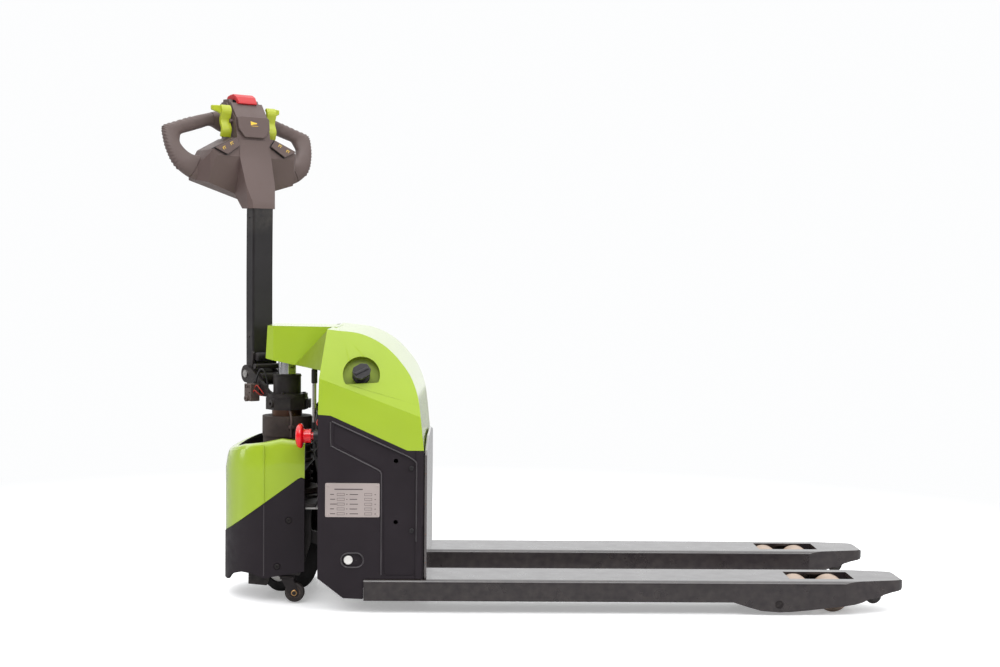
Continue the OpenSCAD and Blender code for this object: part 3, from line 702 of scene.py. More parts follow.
def build_nameplate():
    """Data plate with a raised border, rivets and blank entry fields."""
    low_x, high_x, low_z, high_z = -241, -112, 230, 311
    y = -SIDE_Y
    plate = slab(rounded(rectangle(low_x, low_z, high_x, high_z), 4), y - 1, 1)
    carve(plate, slab(rectangle(low_x + 4, low_z + 4, high_x - 4, high_z - 4), y - 2, 1.3))
    rivets = [
        lathe([(0, 0), (2.6, 0), (2.2, 0.8), (1, 1.3), (0, 1.4)], outward(x, y - 0.7, z), 16)
        for x in (low_x + 6, high_x - 6) for z in (low_z + 6, high_z - 6)
    ]
    piece(
        join(soften(plate, 0.3, 2), *rivets), "nameplate_metal", "chassis", "plate_aluminium", PLATE,
        "nameplate",
    )

    marks = []
    rows, row_step, first = 5, 11.5, high_z - 27
    for row in range(rows):
        z = first - row * row_step
        bars = [
            (low_x + 12, 9 + 3 * (row % 3)), (low_x + 58, 20 - 2 * (row % 2)), (low_x + 50, 3),
            (high_x - 12, 3),
        ]
        for start, width in bars:
            marks.append(box((start, y - 1, z - 0.9), (start + width, y - 0.6, z + 0.9)))
        for start in (low_x + 28, high_x - 36):
            field = slab(rectangle(start, z - 3, start + 18, z + 3), y - 1, 0.4)
            hollow = slab(rectangle(start + 0.7, z - 2.3, start + 17.3, z + 2.3), y - 2, 3)
            marks.append(carve(field, hollow))
    marks.append(box((low_x + 22, y - 1, high_z - 16), (high_x - 40, y - 0.6, high_z - 13.4)))
    piece(join(*marks), "nameplate_lines", "chassis", "black_plastic", PLATE_INK)


build_nameplate()

# ---------------------------------------------------------------- drive cover

COVER_HALF = 180
COVER_CREASE = -398
COVER_NOSE = 118
COVER_END = -300
SPLIT = [(-530, 147), (-497, 172), (-402, 244), (-310, 311), (-290, 304)]
TOP_LINE = [
    (-530, 366), (-512, 372), (-500, 376), (-465, 385), (-437, 389), (-398, 395), (-356, 404),
    (-290, 396),
]
BOTTOM_LINE = [
    (-530, 38), (-500, 44), (-487, 62), (-459, 73), (-434, 73), (-398, 64), (-300, 81), (-290, 83),
]
SHELL = 4
COVER_SCREWS = [(-338, 206), (-366, 93)]
# half angle of the nose outside the crease, so that its first facet turns back sharply
NOSE_SWING = math.pi / 2 - 0.3


def cover_path(inset, nose_extra=0):
    """Plan of the wall from the near end, over a fine vertical crease, round the nose to the far end."""
    straight = [(COVER_END + (COVER_CREASE - COVER_END) * k / 12, -(COVER_HALF - inset)) for k in range(13)]
    nose = []
    for k in range(1, 44):
        a = NOSE_SWING * (k / 22 - 1)
        ahead = (math.cos(a) - math.cos(NOSE_SWING)) / (1 - math.cos(NOSE_SWING))
        more = inset + nose_extra * ahead ** 1.5
        side = (COVER_HALF - more) * math.sin(a) / math.sin(NOSE_SWING)
        nose.append((COVER_CREASE - (COVER_NOSE - more) * ahead, side))
    return straight + nose + [(x, -y) for x, y in reversed(straight)]


def cover_shell(low_line, high_line, crown, proud=0):
    """Wall between two side-view lines. crown rounds its upper edge inwards by steps of (inset, drop)."""
    outer_path = cover_path(-proud)
    levels = [0, 0.12, 0.3, 0.5, 0.7, 0.88, 1]

    def height(x, t):
        return along(low_line, x) + (along(high_line, x) - crown[0][1] - along(low_line, x)) * t

    rings = [[(x, y, height(x, t)) for x, y in outer_path] for t in levels]
    for inset, drop in crown[1:]:
        rings.append([
            (x, y, along(high_line, ox) - drop)
            for (x, y), (ox, _) in zip(cover_path(inset - proud, 0.9 * inset), outer_path)
        ])
    last_inset, last_drop = crown[-1]
    inner_inset = max(SHELL, last_inset)
    for inset, drop in ((inner_inset + 0.1, last_drop + 0.1), (inner_inset + 1, last_drop + SHELL)):
        rings.append([
            (x, y, along(high_line, ox) - drop)
            for (x, y), (ox, _) in zip(cover_path(inset, 0.9 * last_inset), outer_path)
        ])
    rings.append([(x, y, along(low_line, ox)) for (x, y), (ox, _) in zip(cover_path(SHELL), outer_path)])
    rings.append(rings[0])
    skin = loft(rings, caps=False, closed=False)
    return weld(close_ends(skin))


def close_ends(skin):
    """Fills the two open ends of a bent wall."""
    weld(skin)
    with drafting(skin.data) as draft:
        fill(draft, [edge for edge in draft.edges if edge.is_boundary])
    return skin


def build_drive_covers():
    """Green upper and black lower cover, apart by a fine gap along a slanting line."""
    gap = 0.8
    upper_low = [(x, z + gap) for x, z in SPLIT]
    lower_high = [(x, z - gap) for x, z in SPLIT]
    crown = [(0, 53), (2.4, 24), (4.2, 12), (7, 5), (11, 1.4), (17, 0)]
    upper = cover_shell(upper_low, TOP_LINE, crown)
    soften(upper, 1.2, 2, 40)
    piece(upper, "drive_hood_green", "drive_base", "green_plastic", GREEN, "drive_cover_upper", angle=14)
    paint_inside_shade(upper)
    build_creases()
    build_drive_liner()

    lower = cover_shell(BOTTOM_LINE, lower_high, [(0, 0.6), (0.3, 0.15), (0.8, 0)], proud=1.6)
    sinks = []
    for side in (-1, 1):
        for x, z in COVER_SCREWS:
            spot = frame_along((x, side * (COVER_HALF + 3), z), (0, -side, 0))
            sinks.append(lathe([(0, 0), (9.5, 0), (8, 3.2), (0, 3.2)], spot, 24))
    carve(lower, *sinks)
    soften(lower, 0.8, 2, 40)
    piece(
        lower, "drive_skirt_black", "drive_base", "black_plastic", COVER_BLACK, "drive_cover_lower",
        angle=14,
    )
    build_cover_screws()


def paint_inside_shade(upper):
    """Paints the faces that look towards the wheel black: painted shade inside the green cover."""
    upper.data.materials.append(KEY_BLACK)
    axis = TRUCK @ Vector((COVER_CREASE, 0, 0))
    for face in upper.data.polygons:
        away = face.center - axis
        if away.x * face.normal.x + away.y * face.normal.y < -0.01 * away.length:
            face.material_index = 1


def build_creases():
    """Fine bead along the upright crease on both sides: green on the hood, and on the skirt a lighter black
    that paints the bead's highlight.
    """
    for material, low, high, name in ((PAINTED_HIGHLIGHT_BLACK, 70, 243, "skirt"), (GREEN, 248, 388, "hood")):
        lines = []
        for y in (-COVER_HALF - 0.2, COVER_HALF + 0.2):
            lines.append(tube([(COVER_CREASE, y, low), (COVER_CREASE, y, high)], 1.6))
        piece(join(*lines), f"drive_{name}_crease", "drive_base", "black_plastic", material)


def build_drive_liner():
    """Dark inner wall, and the shelf that closes the cover round the column."""
    path = cover_path(SHELL + 1)
    tall = [[(x, y, z) for x, y in path] for z in (110, 330)]
    inside = cover_path(SHELL + 3)
    tall += [[(x, y, z) for x, y in inside] for z in (330, 110)]
    tall.append(tall[0])
    liner = close_ends(loft(tall, caps=False, closed=False))
    piece(liner, "drive_cover_liner", "drive_base", "black_plastic", KEY_BLACK)
    shelf = prism([(x, y) for x, y in cover_path(SHELL + 4)], 326, 330, "Z")
    carve(shelf, bar(72, 340, 370, upright(-364, 0), 64))
    piece(shelf, "drive_cover_boot", "drive_base", "black_plastic", KEY_BLACK)


def build_cover_screws():
    heads = []
    for side in (-1, 1):
        for x, z in COVER_SCREWS:
            heads.append(hex_bolt((x, side * (COVER_HALF - 0.4), z), (0, side, 0), 6.2, 3.4))
            heads.append(bar(3, -12, 0, outward(x, side * COVER_HALF, z), 16))
    piece(join(*heads), "drive_cover_screws", "drive_base", "bright_steel", STEEL_PAINT, "cover_screws")


build_drive_covers()

# ---------------------------------------------------------------- stop button

STOP_Y = -215
STOP_Z = 416


def build_stop_button():
    """Mushroom head and sleeve that press towards the chassis, on a black contact block."""
    spot = frame_along((-318, STOP_Y, STOP_Z), (1, 0, 0))
    head = lathe([
        (0, 0), (10, 0.3), (19, 1.4), (25, 3.6), (28.5, 7), (30, 11), (29.6, 14.5), (27.5, 17), (24, 18),
        (19, 18.6), (17, 20), (16.6, 24), (16.6, 37.4), (16, 38), (9, 38), (9, 54), (0, 54),
    ], spot, 72)
    piece(head, "stop_mushroom", "stop", "red_plastic", RED, "emergency_button", angle=50)

    base = frame_along((-252, STOP_Y, STOP_Z), (-1, 0, 0))
    collar = ring(15, 9.2, 0, 22.5, base, 1)
    nut = ring(24, 14, 0, 5.5, base, 1, 6)
    block = box((-251, STOP_Y - 22, STOP_Z - 24), (-236, STOP_Y + 22, STOP_Z + 24))
    piece(
        join(collar, nut, soften(block, 2)), "stop_contact_block", "chassis", "black_plastic", KEY_BLACK,
        "stop_housing",
    )

    leads = [
        tube([(-256, -207, 436), (-270, -201, 450), (-266, -185, 474), (-254, -170, 478)], 2.4),
        tube([(-258, -221, 394), (-272, -213, 378), (-264, -193, 356), (-252, -180, 330)], 2.6),
    ]
    piece(join(*leads), "stop_leads", "chassis", "black_plastic", KEY_BLACK)
    red_lead = tube([(-257, -213, 438), (-268, -209, 446), (-262, -193, 460), (-253, -184, 462)], 1.6)
    piece(red_lead, "stop_lead_red", "chassis", "red_plastic", CABLE_RED)


build_stop_button()

# ---------------------------------------------------------------- tiller head

LOOP_X = -236
FACE = (
    COLUMN @ Matrix.Translation((-160, 0, 1105)) @ Matrix.Rotation(-math.atan(0.15), 4, "Y")
)
CONSOLE_SIDE = [
    (-118, 972), (-160, 972), (-224, 1040), (-224, 1251), (-208, 1249), (-176, 1206), (-160, 1105),
    (-120, 990),
]
HORN_BLOCK = [
    (-164, 1151), (-250, 1151), (-260, 1200), (-260, 1247), (-250, 1252), (-226, 1250), (-182, 1207),
    (-170, 1160),
]
THROTTLE = (-195, 1200)


def both(points):
    """A half outline from the middle line out and back, closed with its mirror image."""
    return points + [(-y, z) for y, z in reversed(points)]


# where the wings' front turns back towards the grips, and by what angle
WING_SWEEP = [(-163.5, 112, 0.3), (-169, 123, 0.62), (-180, 131, 1.05)]


def build_console():
    """Grey console: a ribbed neck, a raised horn block and two wings that carry the keypads."""
    rib = prism(CONSOLE_SIDE, -46, 46, "Y", COLUMN)
    for side in (-1, 1):
        trim(rib, (-160, side * 40, 975), (0, side, -0.05), COLUMN)
        trim(rib, (-122, side * 34, 985), (0.62, side * 0.78, 0.02), COLUMN)
    wings = prism(
        both([(0, 999), (146, 1044), (146, 1100), (120, 1123), (60, 1155), (0, 1160)]),
        -250, -120, "X", COLUMN,
    )
    profile = [
        (-221, 985), (-250, 990), (-250, 1170), (-170, 1166), (-161.5, 1106), (-180, 1042), (-212, 985),
    ]
    combine(wings, [prism(profile, -150, 150, "Y", COLUMN)], "INTERSECT")
    for side in (-1, 1):
        for x, y, bend in WING_SWEEP:
            trim(wings, (x, side * y, 1090), (math.cos(bend), side * math.sin(bend), -0.1), COLUMN)
        trim(wings, (-200, side * 146, 1078), (0, side * 0.88, 0.48), COLUMN)
    head = fuse(rib, wings)
    fuse(head, build_horn_block())
    ledge = prism([(-60, 108.6), (60, 108.6), (60, 46), (-60, 46)], -2.5, 12, "X", FACE)
    carve(head, ledge)
    soften(head, 4, 4, 16)
    piece(head, "head_console", "tiller", "grey_plastic", GREY_PLASTIC, "head_front", angle=40)


def build_horn_block():
    """Raised block under the red button, with a shoulder on each side of it."""
    block = prism(HORN_BLOCK, -49, 49, "Y", COLUMN)
    for side in (-1, 1):
        trim(block, (-176, side * 49, 1225), (0.16, side, 0.36), COLUMN)
    for side in (-1, 1):
        outline = [(-260, 1240), (-226, 1240), (-219, 1249), (-226, 1259), (-254, 1260)]
        shoulder = prism(outline, 33, 43, "Y", COLUMN)
        if side < 0:
            shoulder.data.transform(COLUMN @ Matrix.Scale(-1, 4, (0, 1, 0)) @ COLUMN.inverted())
            shoulder.data.flip_normals()
        fuse(block, shoulder)
    return block


LOOP_BAND = [
    ((38, 1168), (34, 1236)), ((60, 1176), (60, 1230)), ((84, 1188), (92, 1221)), ((108, 1181), (122, 1213)),
    ((132, 1173), (150, 1204)), ((155, 1166), (186, 1192)), ((167, 1161), (213, 1182)),
    ((172, 1151), (219, 1170)),
    ((175, 1140), (219, 1151)), ((172, 1131), (217, 1130)), ((167, 1123), (212, 1110)),
    ((159, 1115), (205, 1091)),
    ((149, 1109), (192, 1072)), ((136, 1107), (172, 1056)), ((122, 1109), (150, 1045)),
    ((104, 1120), (110, 1033)),
    ((76, 1140), (70, 1021)),
]


# the loops lean back towards the operator by this much per height
LOOP_LEAN = 0.4


def loop_rings(side):
    """Oval sections along one hand loop, ribbed on the outer edge where the fingers rest."""
    inner = spline([p for p, _ in LOOP_BAND], 9)
    outer = spline([q for _, q in LOOP_BAND], 9)
    rings = []
    for step, (a, b) in enumerate(zip(inner, outer)):
        a, b = Vector(a), Vector(b)
        middle, half = (a + b) / 2, (b - a) / 2
        ribbed = 30 < step < 110 and step % 4 < 2
        ring_points = []
        for k in range(28):
            angle = math.tau * k / 28
            c, s = math.cos(angle), math.sin(angle)
            across = math.copysign(abs(c) ** 0.8, c)
            through = math.copysign(abs(s) ** 0.8, s)
            grow = 1.075 if ribbed and c > 0.55 else 1.0
            spot = middle + half * across * grow
            lean = LOOP_LEAN * (min(middle.y, 1180) - 1120) * min(1, middle.x / 130)
            ring_points.append((LOOP_X - lean + 14.5 * through, side * spot.x, spot.y))
        rings.append(ring_points)
    return rings


GRIP_FROM = 16
GRIP_TO = 122


def shrunk(ring_points, share):
    """The same ring, drawn in towards its middle."""
    middle = sum((Vector(p) for p in ring_points), Vector()) / len(ring_points)
    return [tuple(middle + (Vector(p) - middle) * share) for p in ring_points]


def build_loops():
    """Two hand loops: rubber grips outside, grey shells where they join the console."""
    grips = []
    shells = []
    for side in (-1, 1):
        rings = loop_rings(side)
        grips.append(loft(rings[GRIP_FROM:GRIP_TO], COLUMN))
        shells.append(loft(rings[:GRIP_FROM], COLUMN))
        shells.append(loft(rings[GRIP_TO:], COLUMN))
        for seam in (GRIP_FROM, GRIP_TO):
            bridge = [shrunk(points, 0.9) for points in rings[seam - 3:seam + 3]]
            shells.append(loft(bridge, COLUMN))
    grip = join(*grips)
    piece(grip, "loop_grips", "tiller", "grip_rubber", GRIP, "hand_grips", angle=50)
    core = prism(
        both([(0, 1004), (104, 1036), (108, 1118), (60, 1146), (46, 1165), (44, 1250), (0, 1251)]),
        -253, -223, "X", COLUMN,
    )
    soften(core, 5, 4, 20)
    piece(
        join(core, *shells), "head_shell_back", "tiller", "grey_plastic", GREY_PLASTIC, "head_back",
        angle=45,
    )


def ribbon(line, thick):
    """Outline of a strip of even thickness along a smooth line."""
    path = [Vector(p) for p in spline(line, 6)]
    left, right = [], []
    for i, point in enumerate(path):
        ahead = (path[min(i + 1, len(path) - 1)] - path[max(i - 1, 0)]).normalized()
        across = Vector((-ahead.y, ahead.x)) * thick / 2
        left.append(tuple(point + across))
        right.append(tuple(point - across))
    return left + right[::-1]


# reach of a paddle's wing outwards, with the height of its lower edge above the shaft
WING = [(72, 6), (79, 15), (86, 21), (94, 24), (101, 27)]


def build_paddles():
    """Lime butterfly paddles: an upper lobe with a wing, a hollow waist and a lower lobe."""
    x, z = THROTTLE
    parts = []
    for side in (-1, 1):
        low, high = sorted((side * 53, side * 81))
        wave = ribbon([(x - 7, z + 38), (x, z + 25), (x - 8, z), (x, z - 22), (x - 6, z - 42)], 9)
        parts.append(soften(prism(wave, low, high, "Y", COLUMN), 2.6, 3, 35))
        rings = []
        for y, low_z in WING:
            u = x - 7 - 0.5 * max(y - 78, 0)
            rings.append([(a, side * y, b) for a, b in rectangle(u - 4, z + low_z, u + 4, z + 39)])
        parts.append(soften(loft(rings, COLUMN), 2.4, 3, 35))
    collars = [(0, -57), (5, -57), (5, -51), (4, -50), (4, 50), (5, 51), (5, 57), (0, 57)]
    shaft = lathe(collars, crosswise(x, z), 24)
    piece(join(*parts), "butterfly_paddles", "throttle", "lime_plastic", LIME, "throttle_paddles")
    piece(shaft, "paddle_shaft", "throttle", "grey_plastic", GREY_PLASTIC, "throttle_paddles")


def build_belly_button():
    """Red reversing button over the top of the head."""
    belly_side = [
        (-256, 1258.5), (-260, 1264), (-255, 1270), (-245, 1273), (-228, 1273.5), (-213, 1266), (-203, 1254),
        (-201, 1248), (-207, 1245.5), (-212, 1252.5), (-217, 1257.5), (-222, 1258.5),
    ]
    belly = prism(belly_side, -29, 29, "Y", COLUMN)
    for side in (-1, 1):
        trim(belly, (-215, side * 30, 1260), (0.3, side, 0.1), COLUMN)
        trim(belly, (-250, side * 26, 1273), (-0.1, side, 0.8), COLUMN)
    soften(belly, 3.4, 4, 22)
    stem = bar(8, 1235, 1262, upright(LOOP_X, 0, COLUMN))
    piece(join(belly, stem), "reversing_button", "belly", "red_plastic", SOFT_RED, "belly_button", angle=50)
    boot = soften(box((-253, -26, 1249.5), (-221, 26, 1260), COLUMN), 1)
    piece(boot, "reversing_button_boot", "belly", "black_plastic", KEY_BLACK)


def build_horn():
    """Horn panel on the face of the head, with the mark of a horn."""
    outline = rounded([(-47, 107.6), (47, 107.6), (46, 74), (30, 52), (-30, 52), (-46, 74)], 11)
    horn = prism(outline, 0.6, 5.4, "X", FACE)
    stem = bar(6, 0, 13, frame_along((-8, 0, 82), (1, 0, 0), FACE), 20)
    piece(
        join(soften(horn, 2.2, 3, 30), stem), "horn_panel", "horn", "grey_plastic", GREY_PLASTIC,
        "horn_button",
    )
    bell = prism([(-10, 84), (-2, 87), (-2, 92), (-10, 95)], 5.2, 5.7, "X", FACE)
    body = prism([(-2, 86.6), (8, 88), (8, 91), (-2, 92.4)], 5.2, 5.7, "X", FACE)
    foot = prism([(-8, 82), (11, 82), (11, 83), (-8, 83)], 5.2, 5.7, "X", FACE)
    piece(join(bell, body, foot), "horn_mark", "horn", "bronze", SYMBOL)


# outline of the hook in a keypad mark
HOOK = [(-4, -2), (-4, 5), (5, 5), (5, 3.6), (-2.6, 3.6), (-2.6, -2)]


def build_keypads():
    """A tilted keypad with two marks on each wing, over a dark rim."""
    for side, word, rider in ((1, "left", "rocker_l"), (-1, "right", "rocker_r")):
        lean = Matrix.Rotation(math.radians(-30 * side), 4, "X")
        spot = FACE @ Matrix.Translation((0, side * 82, 25)) @ lean
        outline = [(36 * side, 15), (-31 * side, 8), (-35 * side, -14), (13 * side, -17)]
        pad = prism(rounded(outline, 2.5, 4), 3.4, 7.6, "X", spot)
        rib = bar(2.4, -8, 8, spot @ Matrix.Translation((2.8, 0, 0)), 16)
        pad = join(soften(pad, 1.1, 3, 30), rib)
        piece(pad, f"keypad_{word}", rider, "black_plastic", GREY_PLASTIC, f"rocker_{word}")
        marks = []
        for y in (-13, 13):
            marks.append(prism([(y + u, v) for u, v in HOOK], 7.4, 7.9, "X", spot))
            marks.append(prism([(y + 1.6, -2), (y + 1.6, 2), (y + 3, 2), (y + 3, -2)], 7.4, 7.9, "X", spot))
        piece(join(*marks), f"keypad_marks_{word}", rider, "bronze", SYMBOL)
        rim = prism(rounded([(y * 1.05, z * 1.1) for y, z in outline], 2.5, 4), -14, 0.2, "X", spot)
        piece(soften(rim, 0.5, 2, 30), f"keypad_shadow_{word}", "tiller", "black_plastic", KEY_BLACK)


build_console()
build_loops()
build_paddles()
build_belly_button()
build_horn()
build_keypads()


# ---------------------------------------------------------------- tiller arm and bracket

TILLER_X = -138
PIVOT_Z = 545


def build_arm():
    """Rectangular tube with rounded corners, an eye at the pivot and a small hole in its narrow side."""
    half_x, half_y = 19, 30
    section = rounded(rectangle(-half_x, -half_y, half_x, half_y), 6, 4)
    bow = [(560, 0), (700, 1.2), (800, 1.5), (900, 1.0), (976, 0)]
    rings = [
        [(TILLER_X + x - along(bow, z), y, z) for x, y in section]
        for z in (558, 562, 600, 650, 700, 750, 800, 850, 900, 940, 976)
    ]
    arm = loft(rings, COLUMN)
    barrel = [(0, -30), (18.5, -30), (20, -28.5), (20, 28.5), (18.5, 30), (0, 30)]
    eye = lathe(barrel, crosswise(TILLER_X, PIVOT_Z), 48)
    fuse(arm, eye)
    carve(arm, *[bar(2.6, -4, 12, crosswise(TILLER_X, z, -half_y), 16) for z in (948, 640)])
    piece(soften(arm, 0.8, 2, 40), "tiller_tube", "tiller", "black_steel", ARM_BLACK, "tiller_arm")


def build_bracket_tubes():
    """Cross tubes, straps and a return spring between the column and the tiller's foot."""
    tubes = [
        lathe([(0, -30), (8, -30), (9, -29), (9, 29), (8, 30), (0, 30)], crosswise(-104, 590), 32),
        lathe([(0, -42), (6.4, -42), (7, -41), (7, 41), (6.4, 42), (0, 42)], crosswise(-92, 566), 32),
        bar(16, -31, 31, crosswise(-82, 534), 32),
    ]
    strap = rounded([(-116, 550), (-108, 600), (-117, 606), (-132, 560)], 5)
    plates = [soften(prism(strap, y, y + 5, "Y", COLUMN), 0.8) for y in (-36, 31)]
    piece(join(*tubes), "bracket_tubes", "column", "dark_steel", STEEL_PAINT)
    piece(join(*plates), "bracket_straps", "column", "dark_steel", STEEL_PAINT)
    coils = [
        ring(11.5, 7.5, y, y + 2.4, crosswise(-104, 590), 0.8, 32)
        for y in range(-28, 26, 4)
    ]
    piece(join(*coils), "return_spring", "column", "bright_steel", KEY_BLACK)


def build_switch():
    """Interlock switch beside the tiller's foot, with its leads and cables."""
    body = box((-99, -67.5, 479), (-65, -41.5, 523), COLUMN)
    soften(body, 1.6)
    slots = [box((-95 + 9 * k, -70, 512), (-90 + 9 * k, -64, 519), COLUMN) for k in range(3)]
    slots += [
        bar(2, -4, 5, frame_along((-92 + 20 * k, -67.5, 492 + 9 * k), (0, -1, 0), COLUMN), 12)
        for k in range(2)
    ]
    carve(body, *slots)
    wheel_at = frame_along((-84, -67, 486), (0, -1, 0), COLUMN)
    roller = lathe([(0, 0), (8, 0), (8, 5), (6.5, 6), (3, 6), (3, 4), (0, 4)], wheel_at, 32)
    piece(join(body, roller), "interlock_switch", "column", "brown_plastic", BROWN, "switch_box")
    leads = [
        tube([(-68, -56, 510), (-60, -54, 520), (-50, -50, 512), (-44, -42, 498)], 1.4, COLUMN),
        tube([(-68, -60, 500), (-60, -60, 508), (-52, -54, 500), (-48, -44, 494)], 1.2, COLUMN),
    ]
    piece(join(*leads), "switch_leads_red", "column", "red_plastic", CABLE_RED)
    loop = [
        (-76, -48, 522), (-72, -46, 540), (-60, -42, 560), (-52, -34, 552), (-46, -30, 524), (-40, -34, 503),
    ]
    short = [(-94, -44, 522), (-102, -36, 530), (-108, -34, 546), (-106, -33, 564)]
    black = join(tube(loop, 2.6, COLUMN), tube(short, 2.2, COLUMN))
    piece(black, "switch_cables", "column", "black_plastic", KEY_BLACK)


def build_column_fittings():
    """Bolts of the collar, bands round the cylinder and the brake's cable."""
    bolts = [hex_bolt((10, side * 49.5, 477), (0, side, 0), 9.2, 6, COLUMN) for side in (-1, 1)]
    for k in range(4):
        a = math.radians(45 + 90 * k)
        bolts.append(hex_bolt((44 * math.cos(a), 44 * math.sin(a), 502), (0, 0, 1), 4.5, 4, COLUMN))
    piece(join(*bolts), "collar_bolts", "column", "bright_steel", STEEL_PAINT)

    bands = [ring(36.4, 34, z, z + 3, COLUMN, 0.8, 64) for z in (494, 545)]
    piece(join(*bands), "cylinder_bands", "column", "dark_steel", STEEL_PAINT)
    cable = tube([(60, -25, 396), (62, -25, 418), (60, -24, 440), (50, -20, 454), (36, -18, 468)], 3, COLUMN)
    clip = box((57, -30, 418), (66, -19, 425), COLUMN)
    piece(join(cable, clip), "brake_cable", "column", "black_plastic", GREY_PLASTIC)


def build_front_hardware():
    """Hoses, a guard rod and the harness box on the front of the lifting chassis."""
    guard_at = upright(-283, -120)
    sleeve = lathe([(0, 536), (6.5, 536), (7.5, 538), (7.5, 569), (5, 572), (0, 572)], guard_at, 24)
    piece(sleeve, "guard_sleeve", "chassis", "black_plastic", KEY_BLACK)
    guard = bar(5, 440, 540, guard_at)
    piece(guard, "guard_rod", "chassis", "bright_steel", STEEL)
    harness = soften(box((-291, -92, 408), (-253, -34, 462)), 2.5)
    lid = soften(box((-293, -88, 412), (-290, -38, 452)), 1)
    piece(join(harness, lid), "harness_box", "chassis", "black_plastic", KEY_BLACK)
    hoses = [
        tube([(-276, -80, 462), (-280, -84, 478), (-268, -96, 488), (-258, -112, 480)], 3.6),
        tube([(-284, -60, 410), (-288, -64, 380), (-280, -80, 340), (-270, -96, 300), (-256, -110, 262)], 5),
        tube([(-268, -50, 410), (-276, -40, 370), (-268, -20, 320), (-255, -10, 280)], 4.2),
        tube([(-262, -150, 470), (-272, -160, 440), (-268, -170, 380), (-256, -180, 300)], 3.4),
    ]
    piece(join(*hoses), "chassis_hoses", "chassis", "black_plastic", RUBBER)
    nipple = [(0, 0), (5, 0), (5, 9), (3.4, 9), (3.4, 13), (0, 13)]
    fittings = [
        lathe(nipple, frame_along((-276 + 9 * k, -80 + 14 * k, 460), (0, 0, 1)), 6) for k in range(3)
    ]
    piece(join(*fittings), "harness_fittings", "chassis", "bronze", BRASS)
    tray = box((-299, -172, 232), (-262, 172, 236))
    piece(soften(tray, 0.6), "base_rear_strip", "drive_base", "bright_steel", STEEL)


build_arm()
build_bracket_tubes()
build_switch()
build_column_fittings()
build_front_hardware()

# ---------------------------------------------------------------- wheels, castors and backrest


def across(name):
    """Centre of a CAD node's box in TRUCK millimetres."""
    low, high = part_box(name)
    return TRUCK.inverted() @ ((low + high) / 2)


def load_wheel(name, body, radius, half, bore, material):
    """Cast roller with a chamfered tread, a recessed side and a bearing at its centre."""
    middle = across(name)
    spot = frame_along(middle, (0, 1, 0))
    e = 3
    profile = [
        (bore, -half + 5), (bore + 5.5, -half + 5), (bore + 5.5, -half + 1.6), (radius - 9, -half + 1.6),
        (radius - 8, -half), (radius - e, -half), (radius - 1, -half + 1), (radius, -half + e),
    ]
    mirror = [(r, -h) for r, h in reversed(profile)]
    tread = revolve(profile + mirror + [profile[0]], spot, 72)
    piece(tread, f"{name}_tread", body, "polyurethane", material, name)
    races = [
        ring(bore + 5, bore + 0.4, side * (half - 2.6) - 1, side * (half - 2.6) + 1, spot, 0.4, 40)
        for side in (-1, 1)
    ]
    piece(join(*races), f"{name}_bearings", body, "bright_steel", STEEL)


for side in ("left", "right"):
    for place in ("front", "rear"):
        load_wheel(f"load_wheel_{place}_{side}", f"wheel_{place}_{side}", 40, 35, 6.2, POLYURETHANE)
    load_wheel(f"entry_roller_{side}", f"tip_roller_{side}", 20, 38, 5.2, CASTOR_RUBBER)


CASTOR_CAP = [(0, 0), (7.4, 0), (7.4, 1.6), (6.4, 2.6), (4, 2.6), (3.6, 1.6), (0, 1.6)]
CASTOR_TYRE = [
    (15, -8.4), (20, -8.6), (22.6, -7.6), (24, -4.5), (24.1, 0), (24, 4.5), (22.6, 7.6), (20, 8.6),
    (15, 8.4),
    (15, -8.4),
]


def build_castor(side):
    """Swivelling twin-plate fork with a rubber wheel and a brass axle cap."""
    word = "left" if side > 0 else "right"
    x, y, trail = -345, side * 160, 20
    axle_z = 27
    leg = rounded([(-13, 62), (17, 62), (31, 30), (29, 19), (20, 16), (11, 19)], 4)
    legs = [soften(prism([(x + u, v) for u, v in leg], y + low, y + low + 3), 0.7) for low in (-14, 11)]
    plate = soften(box((x - 15, y - 14, 60), (x + 19, y + 14, 65)), 1.2)
    race = lathe([(0, 64), (17, 64), (20, 66), (20, 68), (14, 70), (0, 70)], upright(x, y), 40)
    stem = bar(6, 66, 80, upright(x, y), 24)
    spot = frame_along((x + trail, y, axle_z), (0, 1, 0))
    bracket = join(plate, race, stem, bar(5, -17, 17, spot), *legs)
    swivel, roller = f"castor_{word}", f"castor_roller_{word}"
    piece(bracket, f"castor_bracket_{word}", swivel, "bright_steel", STEEL_PAINT, f"castor_fork_{word}")
    caps = []
    for way, sides in ((-1, 32), (1, 6)):
        end = frame_along((x + trail, y + way * 14, axle_z), (0, way, 0))
        caps.append(lathe(CASTOR_CAP, end, sides))
    piece(join(*caps), f"castor_nuts_{word}", swivel, "bronze", BRASS)

    tyre = revolve(CASTOR_TYRE, spot, 56)
    piece(tyre, f"castor_tyre_{word}", roller, "castor_rubber", CASTOR_RUBBER, f"castor_wheel_{word}")
    hub = ring(15.2, 5.3, -8, 8, spot, 1.2, 48)
    piece(hub, f"castor_hub_{word}", roller, "castor_rubber", BROWN)


for side in (-1, 1):
    build_castor(side)


def build_drive_wheel():
    """Solid tyre with worn shoulders on the steered axle, and the bolts of its hub."""
    half = [
        (80, -34), (96, -35), (101, -33.6), (104, -30), (105, -24), (104.2, -22), (104.2, -20),
        (105, -18),
    ]
    profile = half + [(r, -h) for r, h in reversed(half)] + half[:1]
    tyre = revolve(profile, crosswise(0, 105), 96)
    piece(tyre, "drive_tyre_solid", "drive_wheel", "drive_rubber", RUBBER, "drive_tyre")
    bolts = []
    for k in range(6):
        a = math.tau * k / 6
        bolts.append(hex_bolt((44 * math.cos(a), -31, 105 + 44 * math.sin(a)), (0, -1, 0), 6, 4, COLUMN))
    piece(join(*bolts), "hub_bolts", "drive_wheel", "bright_steel", STEEL)


build_drive_wheel()


